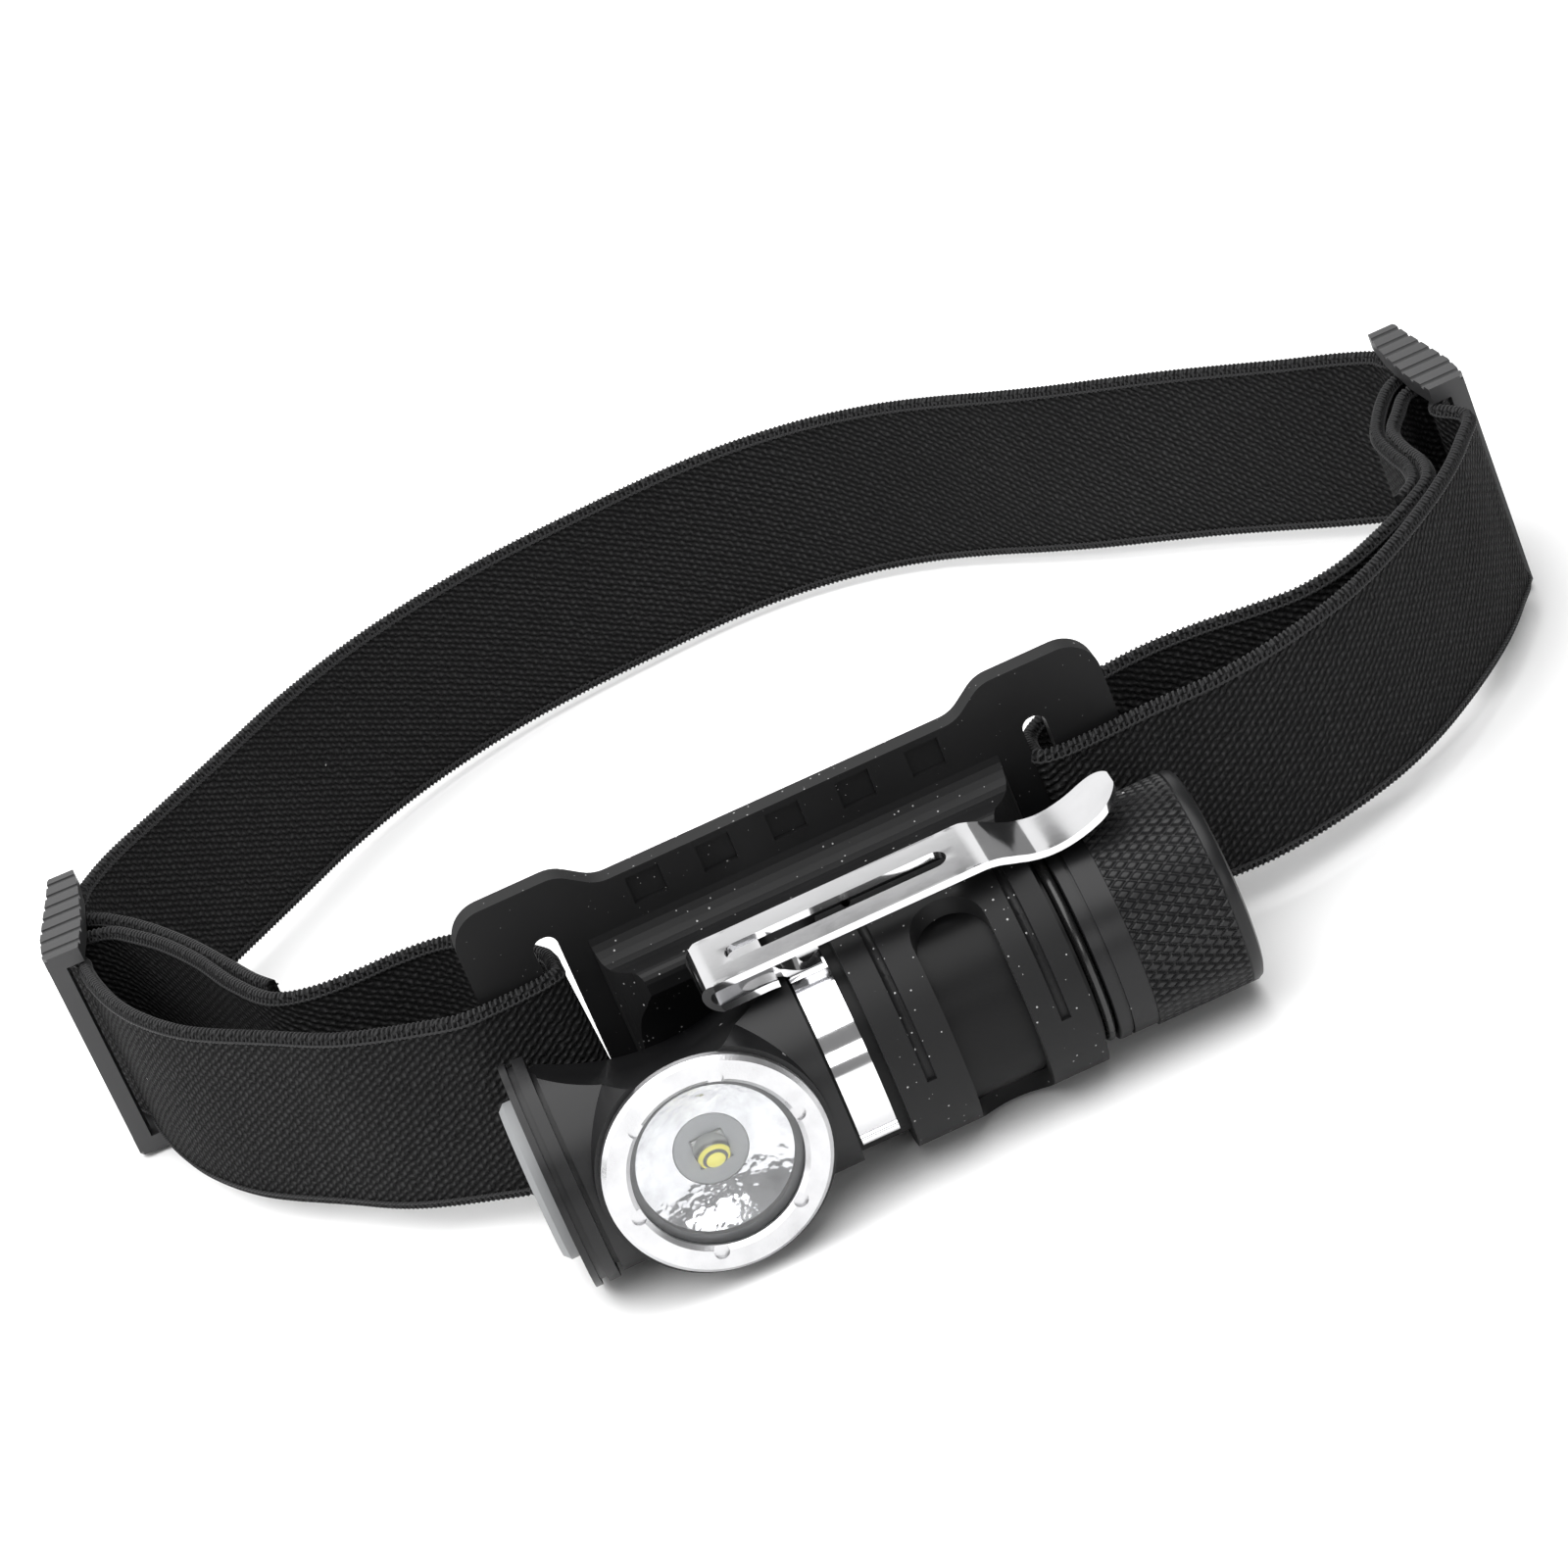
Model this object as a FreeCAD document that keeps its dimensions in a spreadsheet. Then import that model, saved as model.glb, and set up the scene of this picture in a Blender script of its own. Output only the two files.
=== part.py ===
import FreeCAD, Part
import math
import os
import Sketcher

Vector = FreeCAD.Vector
doc = FreeCAD.newDocument("headlamp")

# ---------------------------------------------------------------- sizes (mm, degrees)
sheet = doc.addObject("Spreadsheet::Sheet", "Sizes")
sizes = {
    # where the light's axis meets its switch end, in the row frame
    "axis_x": -47.111, "axis_y": -66.58, "axis_z": 14.329, "light_pitch": 3.2,
    "fit_gap": 0.05, "face_gap": 0.05,
    # switch end
    "flange_r": 13.44, "flange_len": 3.0, "flange_groove_r": 12.8,
    "flange_groove_from": 0.8, "flange_groove_to": 1.6,
    "button_r": 9.5, "button_out": 1.9, "button_travel": 0.5, "button_skirt_r": 10.5,
    "button_skirt_len": 0.5, "lip_len": 0.9, "neck_r": 11.9, "switch_board_x": 5.45,
    "switch_board_r": 8.5, "switch_board_len": 1.2,
    "tact_side": 6.0, "tact_len": 1.7, "tact_cap_r": 1.75, "tact_cap_len": 0.8,
    # head
    "head_from": 3.6, "head_to": 33.0, "head_r": 13.0, "lens_x": 17.86,
    "boss_r": 13.5, "boss_front": 13.8, "scallop_r": 25.0, "scallop_floor": 6.97,
    "scallop_tilt": 17.2, "wire_hole_r": 1.5, "wire_hole_y": 6.0,
    # optics, measured forward from the light's axis
    "bezel_front": 15.27, "bezel_r": 12.93, "bezel_hole_r": 9.75, "bezel_lip": 0.9,
    "bezel_stem_r": 11.0, "bezel_stem_back": 12.6, "bezel_bore_r": 10.5,
    "bezel_notch_r": 0.9, "bezel_notch_ring": 10.35, "bezel_notch_deep": 0.45,
    "bezel_notch_turn": 10.0,
    "gasket_hole_r": 8.95, "gasket_len": 0.9, "glass_r": 10.4, "glass_len": 1.0,
    "reflector_r": 10.35, "reflector_wall": 0.7, "reflector_hole_r": 4.3,
    "cone_mouth_r": 10.45, "cone_mouth_back": 11.6, "cone_back": 10.2,
    "led_board_r": 7.6, "led_board_back": 8.2, "led_board_len": 1.6,
    "led_side": 3.6, "led_len": 0.7, "led_dome_r": 2.05, "centring_r": 4.2, "centring_len": 0.4,
    # tube, cell and driver
    "tube_r": 11.95, "tube_bore_r": 9.5, "tube_to": 63.05, "spigot_r": 10.8,
    "head_spigot": 4.6, "tail_spigot": 6.4, "oring_wire_r": 0.75,
    "driver_bore_from": 26.9, "driver_len": 1.4, "driver_r": 8.1,
    "cell_from": 34.6, "cell_len": 35.0, "cell_r": 9.15, "cell_cap_r": 3.0, "cell_cap_len": 1.0,
    "spring_r": 3.4, "spring_wire_r": 0.4, "spring_turns": 4.0,
    # tail cap
    "cap_from": 64.6, "cap_to": 82.4, "cap_r": 12.87, "cap_band_r": 12.6,
    "cap_band_to": 69.3, "knurl_to": 80.65, "cap_bore_r": 10.9, "cap_bore_to": 77.9,
    "cap_groove_x": 66.0, "cap_groove_len": 0.4, "cap_groove_depth": 0.35,
    "magnet_r": 7.0, "magnet_len": 2.2, "contact_r": 9.0, "contact_len": 0.6,
    # clip
    "clip_thick": 0.9, "clip_turn": 6.6, "clip_band_from": 33.35, "clip_band_to": 37.8,
    "clip_band_bore_r": 12.05, "clip_reach": 108.0, "clip_half": 4.6, "clip_tip_half": 3.6,
    "clip_top": 17.3, "clip_leg": 13.6, "clip_left": 23.7, "clip_flat_to": 57.6,
    "clip_tip": 75.0, "clip_slot_from": 28.0, "clip_slot_to": 54.7, "clip_slot_half": 1.5,
    "clip_curl_r": 0.7,
    # silicone holder
    "ring_r": 14.1, "ring_bore_r": 12.03, "sleeve_from": 39.2, "sleeve_to": 62.5,
    "window_from": 47.0, "window_to": 55.8, "window_top": 3.9, "ring_groove_a": 43.0,
    "ring_groove_b": 59.2, "ring_groove_r": 0.6, "ring_groove_sweep": 150.0,
    "plate_left": 0.9, "plate_right": 80.6, "plate_front": 16.2, "plate_thick": 2.8,
    "plate_bottom": -13.2, "plate_top": 22.6, "wing_top": 25.6, "wing_len": 17.0,
    "wing_slope": 3.4, "plate_corner": 4.2, "slot_in": 8.0, "slot_wide": 2.9,
    "slot_low": -10.8, "slot_high": 19.2, "slot_corner": 1.3,
    "saddle_from": 15.0, "saddle_to": 66.0, "saddle_low": -12.6, "saddle_high": 15.9,
    "saddle_deep": 7.0,
    "saddle_clear_r": 13.9, "recess_first": 21.6, "recess_pitch": 8.65, "recess_wide": 4.1,
    "recess_low": 18.3, "recess_high": 21.8, "recess_depth": 0.7,
    # strap and buckles
    "strap_wide": 25.0, "strap_thick": 1.5, "strap_z": 2.8, "strap_tilt": 1.65, "tilt_y": 16.0,
    "buckle_high": 29.6, "buckle_window": 25.5, "buckle_half": 12.0, "bar_wide": 2.2,
    "bar_thick": 2.2, "centre_bar_half": 1.1, "centre_bar_thick": 1.0, "rib_pitch": 3.3,
    "rib_r": 0.55, "left_buckle_x": -43.1, "left_buckle_y": 85.0, "left_buckle_turn": -4.0,
    "right_buckle_x": 137.4, "right_buckle_y": 70.0, "right_buckle_turn": 0.0,
}
for row, (alias, value) in enumerate(sizes.items(), start=1):
    sheet.set(f"A{row}", alias)
    sheet.set(f"B{row}", str(value))
    sheet.setAlias(f"B{row}", alias)
doc.recompute()


# ---------------------------------------------------------------- helpers
class Dim:
    """A size that knows its number and the sheet expression it comes from."""

    def __init__(self, value, text):
        self.value = float(value)
        self.text = text

    def __add__(self, other):
        other = asDim(other)
        return Dim(self.value + other.value, f"({self.text} + {other.text})")

    def __sub__(self, other):
        other = asDim(other)
        return Dim(self.value - other.value, f"({self.text} - {other.text})")

    def __mul__(self, number):
        return Dim(self.value * number, f"({self.text} * {number})")

    def __neg__(self):
        return self * -1


def asDim(item):
    return item if isinstance(item, Dim) else Dim(item, str(float(item)))


class Sizes:
    def __getattr__(self, alias):
        return Dim(sheet.get(alias), f"Sizes.{alias}")


S = Sizes()


def num(alias):
    return float(sheet.get(alias))


def bind(obj, prop, dim):
    dim = asDim(dim)
    obj.setExpression(prop, dim.text)


def planeOf(body, role):
    return [f for f in body.Origin.OriginFeatures if f.Role == role][0]


def addOutline(sketch, points):
    """Closed polygon whose corners are held by sheet-driven distances from the origin."""
    points = [(asDim(a), asDim(b)) for a, b in points]
    count = len(points)
    for i in range(count):
        a, b = points[i], points[(i + 1) % count]
        start = Vector(a[0].value, a[1].value, 0)
        sketch.addGeometry(Part.LineSegment(start, Vector(b[0].value, b[1].value, 0)), False)
    for i in range(count):
        sketch.addConstraint(Sketcher.Constraint("Coincident", i, 2, (i + 1) % count, 1))
    for i, (a, b) in enumerate(points):
        for kind, dim, axis in (("DistanceX", a, -2), ("DistanceY", b, -1)):
            if abs(dim.value) < 1e-9:
                sketch.addConstraint(Sketcher.Constraint("PointOnObject", i, 1, axis))
            else:
                number = sketch.addConstraint(Sketcher.Constraint(kind, -1, 1, i, 1, dim.value))
                sketch.setExpression(f"Constraints[{number}]", dim.text)


def newSketch(body, name, role, points):
    sketch = body.newObject("Sketcher::SketchObject", name)
    sketch.AttachmentSupport = [(planeOf(body, role), "")]
    sketch.MapMode = "FlatFace"
    addOutline(sketch, points)
    return sketch


def newBody(label):
    body = doc.addObject("PartDesign::Body", label)
    body.Label = label
    return body


def turned(label, outlines, axis="H_Axis"):
    """Body of revolution: closed outlines turned about the sketch's own axis."""
    body = newBody(label)
    for i, points in enumerate(outlines):
        sketch = newSketch(body, f"{label}_outline{i}", "XY_Plane", points)
        turn = body.newObject("PartDesign::Revolution", f"{label}_turn{i}")
        turn.Profile = sketch
        turn.ReferenceAxis = (sketch, [axis])
        turn.Angle = 360
        sketch.Visibility = False
        body.Tip = turn
    doc.recompute()
    return body


def cylinder(name, radius, height, base, axis):
    obj = doc.addObject("Part::Cylinder", name)
    bind(obj, "Radius", radius)
    bind(obj, "Height", height)
    turn = FreeCAD.Rotation(Vector(0, 0, 1), Vector(*axis))
    obj.Placement = FreeCAD.Placement(Vector(*[asDim(b).value for b in base]), turn)
    for letter, dim in zip("xyz", base):
        bind(obj, f"Placement.Base.{letter}", dim)
    return obj


def block(name, low, high):
    obj = doc.addObject("Part::Box", name)
    for prop, a, b in zip(("Length", "Width", "Height"), low, high):
        bind(obj, prop, asDim(b) - a)
    for letter, dim in zip("xyz", low):
        bind(obj, f"Placement.Base.{letter}", dim)
    return obj


def prism(name, points, start, length, side):
    """Polygon pad along one axis; side is the sketch plane."""
    body = newBody(name)
    sketch = newSketch(body, f"{name}_outline", side, points)
    pad = body.newObject("PartDesign::Pad", f"{name}_pad")
    pad.Profile = sketch
    bind(pad, "Length", length)
    sketch.Visibility = False
    body.Tip = pad
    letter = {"XY_Plane": "z", "XZ_Plane": "y", "YZ_Plane": "x"}[side]
    bind(body, f"Placement.Base.{letter}", start)
    doc.recompute()
    return body


def fuse(name, parts):
    obj = doc.addObject("Part::MultiFuse", name)
    obj.Shapes = parts
    obj.Refine = True
    return obj


def cut(name, base, tool):
    obj = doc.addObject("Part::Cut", name)
    obj.Base = base
    obj.Tool = tool
    obj.Refine = True
    return obj


def solid(name, shape):
    obj = doc.addObject("Part::Feature", name)
    obj.Shape = shape
    return obj


def edgeCurve(points):
    curve = Part.BSplineCurve()
    curve.interpolate([Vector(*p) for p in points])
    return curve


def smoothPath(points, step):
    """Evenly spaced points along a centripetal Catmull-Rom curve through the given ones."""
    pts = [Vector(p[0], p[1], 0) for p in points]
    pts = [pts[0] * 2 - pts[1]] + pts + [pts[-1] * 2 - pts[-2]]
    dense = []
    for p0, p1, p2, p3 in zip(pts, pts[1:], pts[2:], pts[3:]):
        t1 = (p1 - p0).Length ** 0.5
        t2 = t1 + (p2 - p1).Length ** 0.5
        t3 = t2 + (p3 - p2).Length ** 0.5
        for k in range(24):
            t = t1 + (t2 - t1) * k / 24
            a1 = p0 * ((t1 - t) / t1) + p1 * (t / t1)
            a2 = p1 * ((t2 - t) / (t2 - t1)) + p2 * ((t - t1) / (t2 - t1))
            a3 = p2 * ((t3 - t) / (t3 - t2)) + p3 * ((t - t2) / (t3 - t2))
            b1 = a1 * ((t2 - t) / t2) + a2 * (t / t2)
            b2 = a2 * ((t3 - t) / (t3 - t1)) + a3 * ((t - t1) / (t3 - t1))
            dense.append(b1 * ((t2 - t) / (t2 - t1)) + b2 * ((t - t1) / (t2 - t1)))
    dense.append(pts[-2])
    total = sum((b - a).Length for a, b in zip(dense, dense[1:]))
    count = max(8, int(round(total / step)))
    path, gone, i = [dense[0]], 0.0, 0
    for k in range(1, count):
        want = total * k / count
        while gone + (dense[i + 1] - dense[i]).Length < want:
            gone += (dense[i + 1] - dense[i]).Length
            i += 1
        along = (want - gone) / (dense[i + 1] - dense[i]).Length
        path.append(dense[i] + (dense[i + 1] - dense[i]) * along)
    path.append(dense[-1])
    return path


def ribbonFace(points, thick, step):
    """Flat face that follows a path with a constant thickness."""
    path = smoothPath(points, step)
    left, right = [], []
    for i, p in enumerate(path):
        way = path[min(i + 1, len(path) - 1)] - path[max(i - 1, 0)]
        side = Vector(-way.y, way.x, 0).normalize() * (thick / 2)
        left.append(p + side)
        right.append(p - side)
    edges = [edgeCurve(left).toShape(),
             Part.LineSegment(left[-1], right[-1]).toShape(),
             edgeCurve(right[::-1]).toShape(),
             Part.LineSegment(right[0], left[0]).toShape()]
    return Part.Face(Part.Wire(edges))


def lightPlace(extra=0.0):
    turn = FreeCAD.Rotation(Vector(1, 0, 0), extra - num("light_pitch"))
    return FreeCAD.Placement(Vector(num("axis_x"), num("axis_y"), num("axis_z")), turn)


nodes = {}


def keep(label, obj, place):
    obj.Label = label
    obj.Placement = place
    nodes[label] = obj


# ---------------------------------------------------------------- switch end
keep("switch_retaining_ring", turned("switch_retaining_ring", [[
    (0, S.button_r + 0.15), (0, S.flange_r), (S.flange_groove_from, S.flange_r),
    (S.flange_groove_from, S.flange_groove_r), (S.flange_groove_to, S.flange_groove_r),
    (S.flange_groove_to, S.flange_r), (S.flange_len, S.flange_r),
    (S.flange_len, S.neck_r + S.fit_gap), (S.lip_len, S.neck_r + S.fit_gap),
    (S.lip_len, S.button_r + 0.15)]]), lightPlace())
skirtFrom = S.lip_len + S.face_gap
skirtTo = skirtFrom + S.button_skirt_len
keep("switch_button", turned("switch_button", [[
    (-S.button_out, 0), (-S.button_out, S.button_r - 0.7), (-S.button_out + 0.7, S.button_r),
    (skirtFrom, S.button_r), (skirtFrom, S.button_skirt_r),
    (skirtTo, S.button_skirt_r), (skirtTo, 2.0),
    (skirtTo + 0.6, 2.0), (skirtTo + 0.6, 0)]]), lightPlace())
boardFrom = S.switch_board_x
keep("switch_board", turned("switch_board", [[
    (boardFrom, 0), (boardFrom, S.switch_board_r),
    (boardFrom + S.switch_board_len, S.switch_board_r),
    (boardFrom + S.switch_board_len, 0)]]), lightPlace())
tactFrom = boardFrom - S.tact_len - S.face_gap
tactBase = block("tact_base", (tactFrom, S.tact_side * -0.5, S.tact_side * -0.5),
                 (boardFrom - S.face_gap, S.tact_side * 0.5, S.tact_side * 0.5))
tactCap = cylinder("tact_cap", S.tact_cap_r, S.tact_cap_len + 0.2,
                   (tactFrom - S.tact_cap_len, 0, 0), (1, 0, 0))
keep("tactile_switch", fuse("tactile_switch", [tactBase, tactCap]), lightPlace())

# ---------------------------------------------------------------- head housing
headTube = cylinder("head_tube", S.head_r, S.head_to - S.head_from, (S.head_from, 0, 0), (1, 0, 0))
headBoss = cylinder("head_boss", S.boss_r, S.boss_front, (S.lens_x, 0, 0), (0, -1, 0))
neckFrom = skirtTo + S.button_travel + S.face_gap
headNeck = cylinder("head_neck", S.neck_r, S.head_from - neckFrom + 1, (neckFrom, 0, 0), (1, 0, 0))
headBlank = fuse("head_blank", [headTube, headBoss, headNeck])
tilt = math.radians(num("scallop_tilt"))
lift = num("scallop_floor") + num("scallop_r")
scallop = doc.addObject("Part::Cylinder", "scallop")
bind(scallop, "Radius", S.scallop_r)
scallop.Height = 80
along = Vector(0, -math.cos(tilt), math.sin(tilt))
away = Vector(0, math.sin(tilt), math.cos(tilt))
scallop.Placement = FreeCAD.Placement(Vector(num("lens_x"), 0, 0) + away * lift - along * 40,
                                      FreeCAD.Rotation(Vector(0, 0, 1), along))
switchBoreTo = boardFrom + S.switch_board_len + S.face_gap
headBores = turned("head_bores", [[
    (neckFrom - 1, 0), (neckFrom - 1, S.switch_board_r + S.fit_gap),
    (switchBoreTo, S.switch_board_r + S.fit_gap), (switchBoreTo, 0)], [
    (S.driver_bore_from, 0), (S.driver_bore_from, S.driver_r + S.fit_gap),
    (S.head_to - S.head_spigot - S.face_gap, S.driver_r + S.fit_gap),
    (S.head_to - S.head_spigot - S.face_gap, S.spigot_r + S.fit_gap),
    (S.head_to + 1, S.spigot_r + S.fit_gap), (S.head_to + 1, 0)]])
opticBore = turned("optic_bore", [[
    (0, -S.led_board_back), (S.led_board_r + 0.15, -S.led_board_back),
    (S.led_board_r + 0.15, -S.cone_back), (S.cone_mouth_r, -S.cone_mouth_back),
    (S.cone_mouth_r, -S.bezel_stem_back + S.face_gap),
    (S.bezel_stem_r + S.fit_gap, -S.bezel_stem_back + S.face_gap),
    (S.bezel_stem_r + S.fit_gap, -S.boss_front - 1), (0, -S.boss_front - 1)]], "V_Axis")
bind(opticBore, "Placement.Base.x", S.lens_x)
wireHole = cylinder("wire_hole", S.wire_hole_r, S.driver_bore_from - S.head_from,
                    (S.head_from + 1, S.wire_hole_y, 0), (1, 0, 0))
headTools = fuse("head_tools", [scallop, headBores, opticBore, wireHole])
keep("head_housing", cut("head_housing", headBlank, headTools), lightPlace())


# ---------------------------------------------------------------- optics
def lensPlace():
    place = lightPlace()
    return place.multiply(FreeCAD.Placement(Vector(num("lens_x"), 0, 0), FreeCAD.Rotation()))


glassFront = -(S.bezel_front - S.bezel_lip - S.face_gap)
gasketFront = glassFront + S.glass_len + S.face_gap
rimFront = gasketFront + S.gasket_len + S.face_gap
boardFront = -(S.led_board_back + S.led_board_len)
reflectorBack = boardFront - S.centring_len - S.face_gap * 2
bezelBlank = turned("bezel_blank", [[
    (S.bezel_hole_r + 0.5, -S.bezel_front), (S.bezel_r - 0.5, -S.bezel_front),
    (S.bezel_r, -S.bezel_front + 0.5), (S.bezel_r, -S.boss_front - S.face_gap),
    (S.bezel_stem_r, -S.boss_front - S.face_gap), (S.bezel_stem_r, -S.bezel_stem_back),
    (S.bezel_bore_r, -S.bezel_stem_back), (S.bezel_bore_r, -S.bezel_front + S.bezel_lip),
    (S.bezel_hole_r, -S.bezel_front + S.bezel_lip),
    (S.bezel_hole_r, -S.bezel_front + 0.5)]], "V_Axis")
notches = []
for i in range(6):
    a = math.radians(num("bezel_notch_turn") + 60 * i)
    ring = S.bezel_notch_ring
    notches.append(cylinder(f"bezel_notch_{i}", S.bezel_notch_r, 3.0,
                            (ring * math.cos(a), -S.bezel_front + S.bezel_notch_deep,
                             ring * math.sin(a)), (0, -1, 0)))
keep("bezel_ring", cut("bezel_ring", bezelBlank, fuse("bezel_notches", notches)), lensPlace())
keep("lens_gasket", turned("lens_gasket", [[
    (S.gasket_hole_r, gasketFront), (S.glass_r, gasketFront),
    (S.glass_r, gasketFront + S.gasket_len),
    (S.gasket_hole_r, gasketFront + S.gasket_len)]], "V_Axis"), lensPlace())
keep("glass_lens", turned("glass_lens", [[
    (0, glassFront), (S.glass_r, glassFront), (S.glass_r, glassFront + S.glass_len),
    (0, glassFront + S.glass_len)]], "V_Axis"), lensPlace())


def dishRadius(share):
    """Half-width of the reflector's dish, 0 at the emitter and 1 at the rim."""
    low, high = num("reflector_hole_r"), num("reflector_r") - 0.6
    return (low ** 2 + (high ** 2 - low ** 2) * share) ** 0.5


rimY, backY = rimFront.value, reflectorBack.value
dishSteps = [i / 8 for i in range(9)]
inner = [Vector(dishRadius(u), backY + (rimY - backY) * u, 0) for u in dishSteps]
wall = num("reflector_wall")
outer = [Vector(p.x + wall * 0.75, min(p.y + wall * 0.75, backY), 0) for p in inner]
rimOuter = Vector(num("reflector_r"), rimY, 0)
rimUnder = Vector(num("reflector_r"), rimY + 0.5, 0)
outer = [p for p in outer if p.x < num("reflector_r") - 0.1 and p.y > rimY + 0.6]
dish = [edgeCurve(inner).toShape(), Part.LineSegment(inner[-1], rimOuter).toShape(),
        Part.LineSegment(rimOuter, rimUnder).toShape(),
        Part.LineSegment(rimUnder, outer[-1]).toShape(),
        edgeCurve(outer[::-1]).toShape(), Part.LineSegment(outer[0], inner[0]).toShape()]
dishFace = Part.Face(Part.Wire(dish))
keep("reflector", solid("reflector", dishFace.revolve(Vector(0, 0, 0), Vector(0, 1, 0), 360)),
     lensPlace())
keep("led_board", turned("led_board", [[
    (0, boardFront), (S.led_board_r, boardFront), (S.led_board_r, -S.led_board_back),
    (0, -S.led_board_back)]], "V_Axis"), lensPlace())
ledBack = boardFront - S.face_gap
ledBase = block("led_base", (S.led_side * -0.5, ledBack - S.led_len, S.led_side * -0.5),
                (S.led_side * 0.5, ledBack, S.led_side * 0.5))
ledDome = doc.addObject("Part::Sphere", "led_dome")
bind(ledDome, "Radius", S.led_dome_r)
ledDome.Angle1 = 0
ledDome.Placement = FreeCAD.Placement(Vector(0, 0, 0), FreeCAD.Rotation(Vector(1, 0, 0), 90))
bind(ledDome, "Placement.Base.y", ledBack - S.led_len + 0.1)
keep("led_emitter", fuse("led_emitter", [ledBase, ledDome]), lensPlace())
centringDisc = cylinder("centring_disc", S.centring_r, S.centring_len, (0, ledBack, 0), (0, -1, 0))
centringHole = block("centring_hole",
                     (S.led_side * -0.5 - 0.1, ledBack - S.centring_len - 1, S.led_side * -0.5 - 0.1),
                     (S.led_side * 0.5 + 0.1, ledBack + 1, S.led_side * 0.5 + 0.1))
keep("centring_gasket", cut("centring_gasket", centringDisc, centringHole), lensPlace())

# ---------------------------------------------------------------- tube, driver and cell
keep("body_tube", turned("body_tube", [[
    (S.head_to - S.head_spigot, S.tube_bore_r), (S.head_to - S.head_spigot, S.spigot_r),
    (S.head_to + S.face_gap, S.spigot_r), (S.head_to + S.face_gap, S.tube_r),
    (S.tube_to, S.tube_r), (S.tube_to, S.spigot_r),
    (S.tube_to + S.tail_spigot, S.spigot_r), (S.tube_to + S.tail_spigot, S.tube_bore_r)]]),
    lightPlace())
driverFrom = S.driver_bore_from + S.face_gap
keep("driver_board", turned("driver_board", [[
    (driverFrom, 0), (driverFrom, S.driver_r - 0.1), (driverFrom + S.driver_len, S.driver_r - 0.1),
    (driverFrom + S.driver_len, 0)]]), lightPlace())
oring = doc.addObject("Part::Torus", "tail_oring")
bind(oring, "Radius1", S.spigot_r + S.oring_wire_r)
bind(oring, "Radius2", S.oring_wire_r - S.fit_gap)
shift = FreeCAD.Placement(Vector((num("tube_to") + num("cap_from")) / 2, 0, 0),
                          FreeCAD.Rotation(Vector(0, 1, 0), 90))
keep("tail_oring", oring, lightPlace().multiply(shift))
cellTo = S.cell_from + S.cell_len
keep("battery_cell", turned("battery_cell", [[
    (S.cell_from + S.cell_cap_len, 0), (S.cell_from + S.cell_cap_len, S.cell_r - 0.4),
    (S.cell_from + S.cell_cap_len + 0.4, S.cell_r), (cellTo - 0.4, S.cell_r),
    (cellTo, S.cell_r - 0.4), (cellTo, 0)]]), lightPlace())
keep("cell_positive_cap", turned("cell_positive_cap", [[
    (S.cell_from, 0), (S.cell_from, S.cell_cap_r), (S.cell_from + S.cell_cap_len, S.cell_cap_r),
    (S.cell_from + S.cell_cap_len, 0)]]), lightPlace())


def springShape(start, end):
    """Round-wire coil that reaches from one face to another along its own axis."""
    wireR, coilR = num("spring_wire_r"), num("spring_r")
    low, high = start + wireR, end - wireR
    helix = Part.makeHelix((high - low) / num("spring_turns"), high - low, coilR)
    section = Part.Wire([Part.makeCircle(wireR, Vector(coilR, 0, 0), Vector(0, 1, 0))])
    return Part.Wire(helix.Edges).makePipeShell([section], True, True)


def springPlace(start):
    along = FreeCAD.Rotation(Vector(0, 1, 0), 90)
    shift = FreeCAD.Placement(Vector(start + num("spring_wire_r"), 0, 0), along)
    return lightPlace().multiply(shift)


driverFace = driverFrom.value + num("driver_len") + num("face_gap")
keep("driver_spring", solid("driver_spring",
                            springShape(driverFace, num("cell_from") - num("face_gap"))),
     springPlace(driverFace))

# ---------------------------------------------------------------- tail cap
grooveR = S.cap_band_r - S.cap_groove_depth
grooveTo = S.cap_groove_x + S.cap_groove_len
keep("tail_cap", turned("tail_cap", [[
    (S.cap_from, S.cap_bore_r), (S.cap_from, S.cap_band_r), (S.cap_groove_x, S.cap_band_r),
    (S.cap_groove_x, grooveR), (grooveTo, grooveR), (grooveTo, S.cap_band_r),
    (S.cap_band_to, S.cap_band_r), (S.cap_band_to, S.cap_r - 0.1), (S.knurl_to, S.cap_r - 0.1),
    (S.knurl_to, S.cap_r), (S.cap_to - 0.9, S.cap_r), (S.cap_to, S.cap_r - 0.9), (S.cap_to, 0),
    (S.cap_bore_to + S.magnet_len, 0), (S.cap_bore_to + S.magnet_len, S.magnet_r + S.fit_gap),
    (S.cap_bore_to, S.magnet_r + S.fit_gap), (S.cap_bore_to, S.cap_bore_r)]]), lightPlace())
keep("tail_magnet", turned("tail_magnet", [[
    (S.cap_bore_to + S.face_gap, 0), (S.cap_bore_to + S.face_gap, S.magnet_r),
    (S.cap_bore_to + S.magnet_len - S.face_gap, S.magnet_r),
    (S.cap_bore_to + S.magnet_len - S.face_gap, 0)]]), lightPlace())
contactTo = S.cap_bore_to - S.face_gap
keep("tail_contact_disc", turned("tail_contact_disc", [[
    (contactTo - S.contact_len, 0), (contactTo - S.contact_len, S.contact_r),
    (contactTo, S.contact_r), (contactTo, 0)]]), lightPlace())
discFace = contactTo.value - num("contact_len") - num("face_gap")
springFrom = cellTo.value + num("face_gap")
keep("tail_spring", solid("tail_spring", springShape(springFrom, discFace)),
     springPlace(springFrom))

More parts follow.
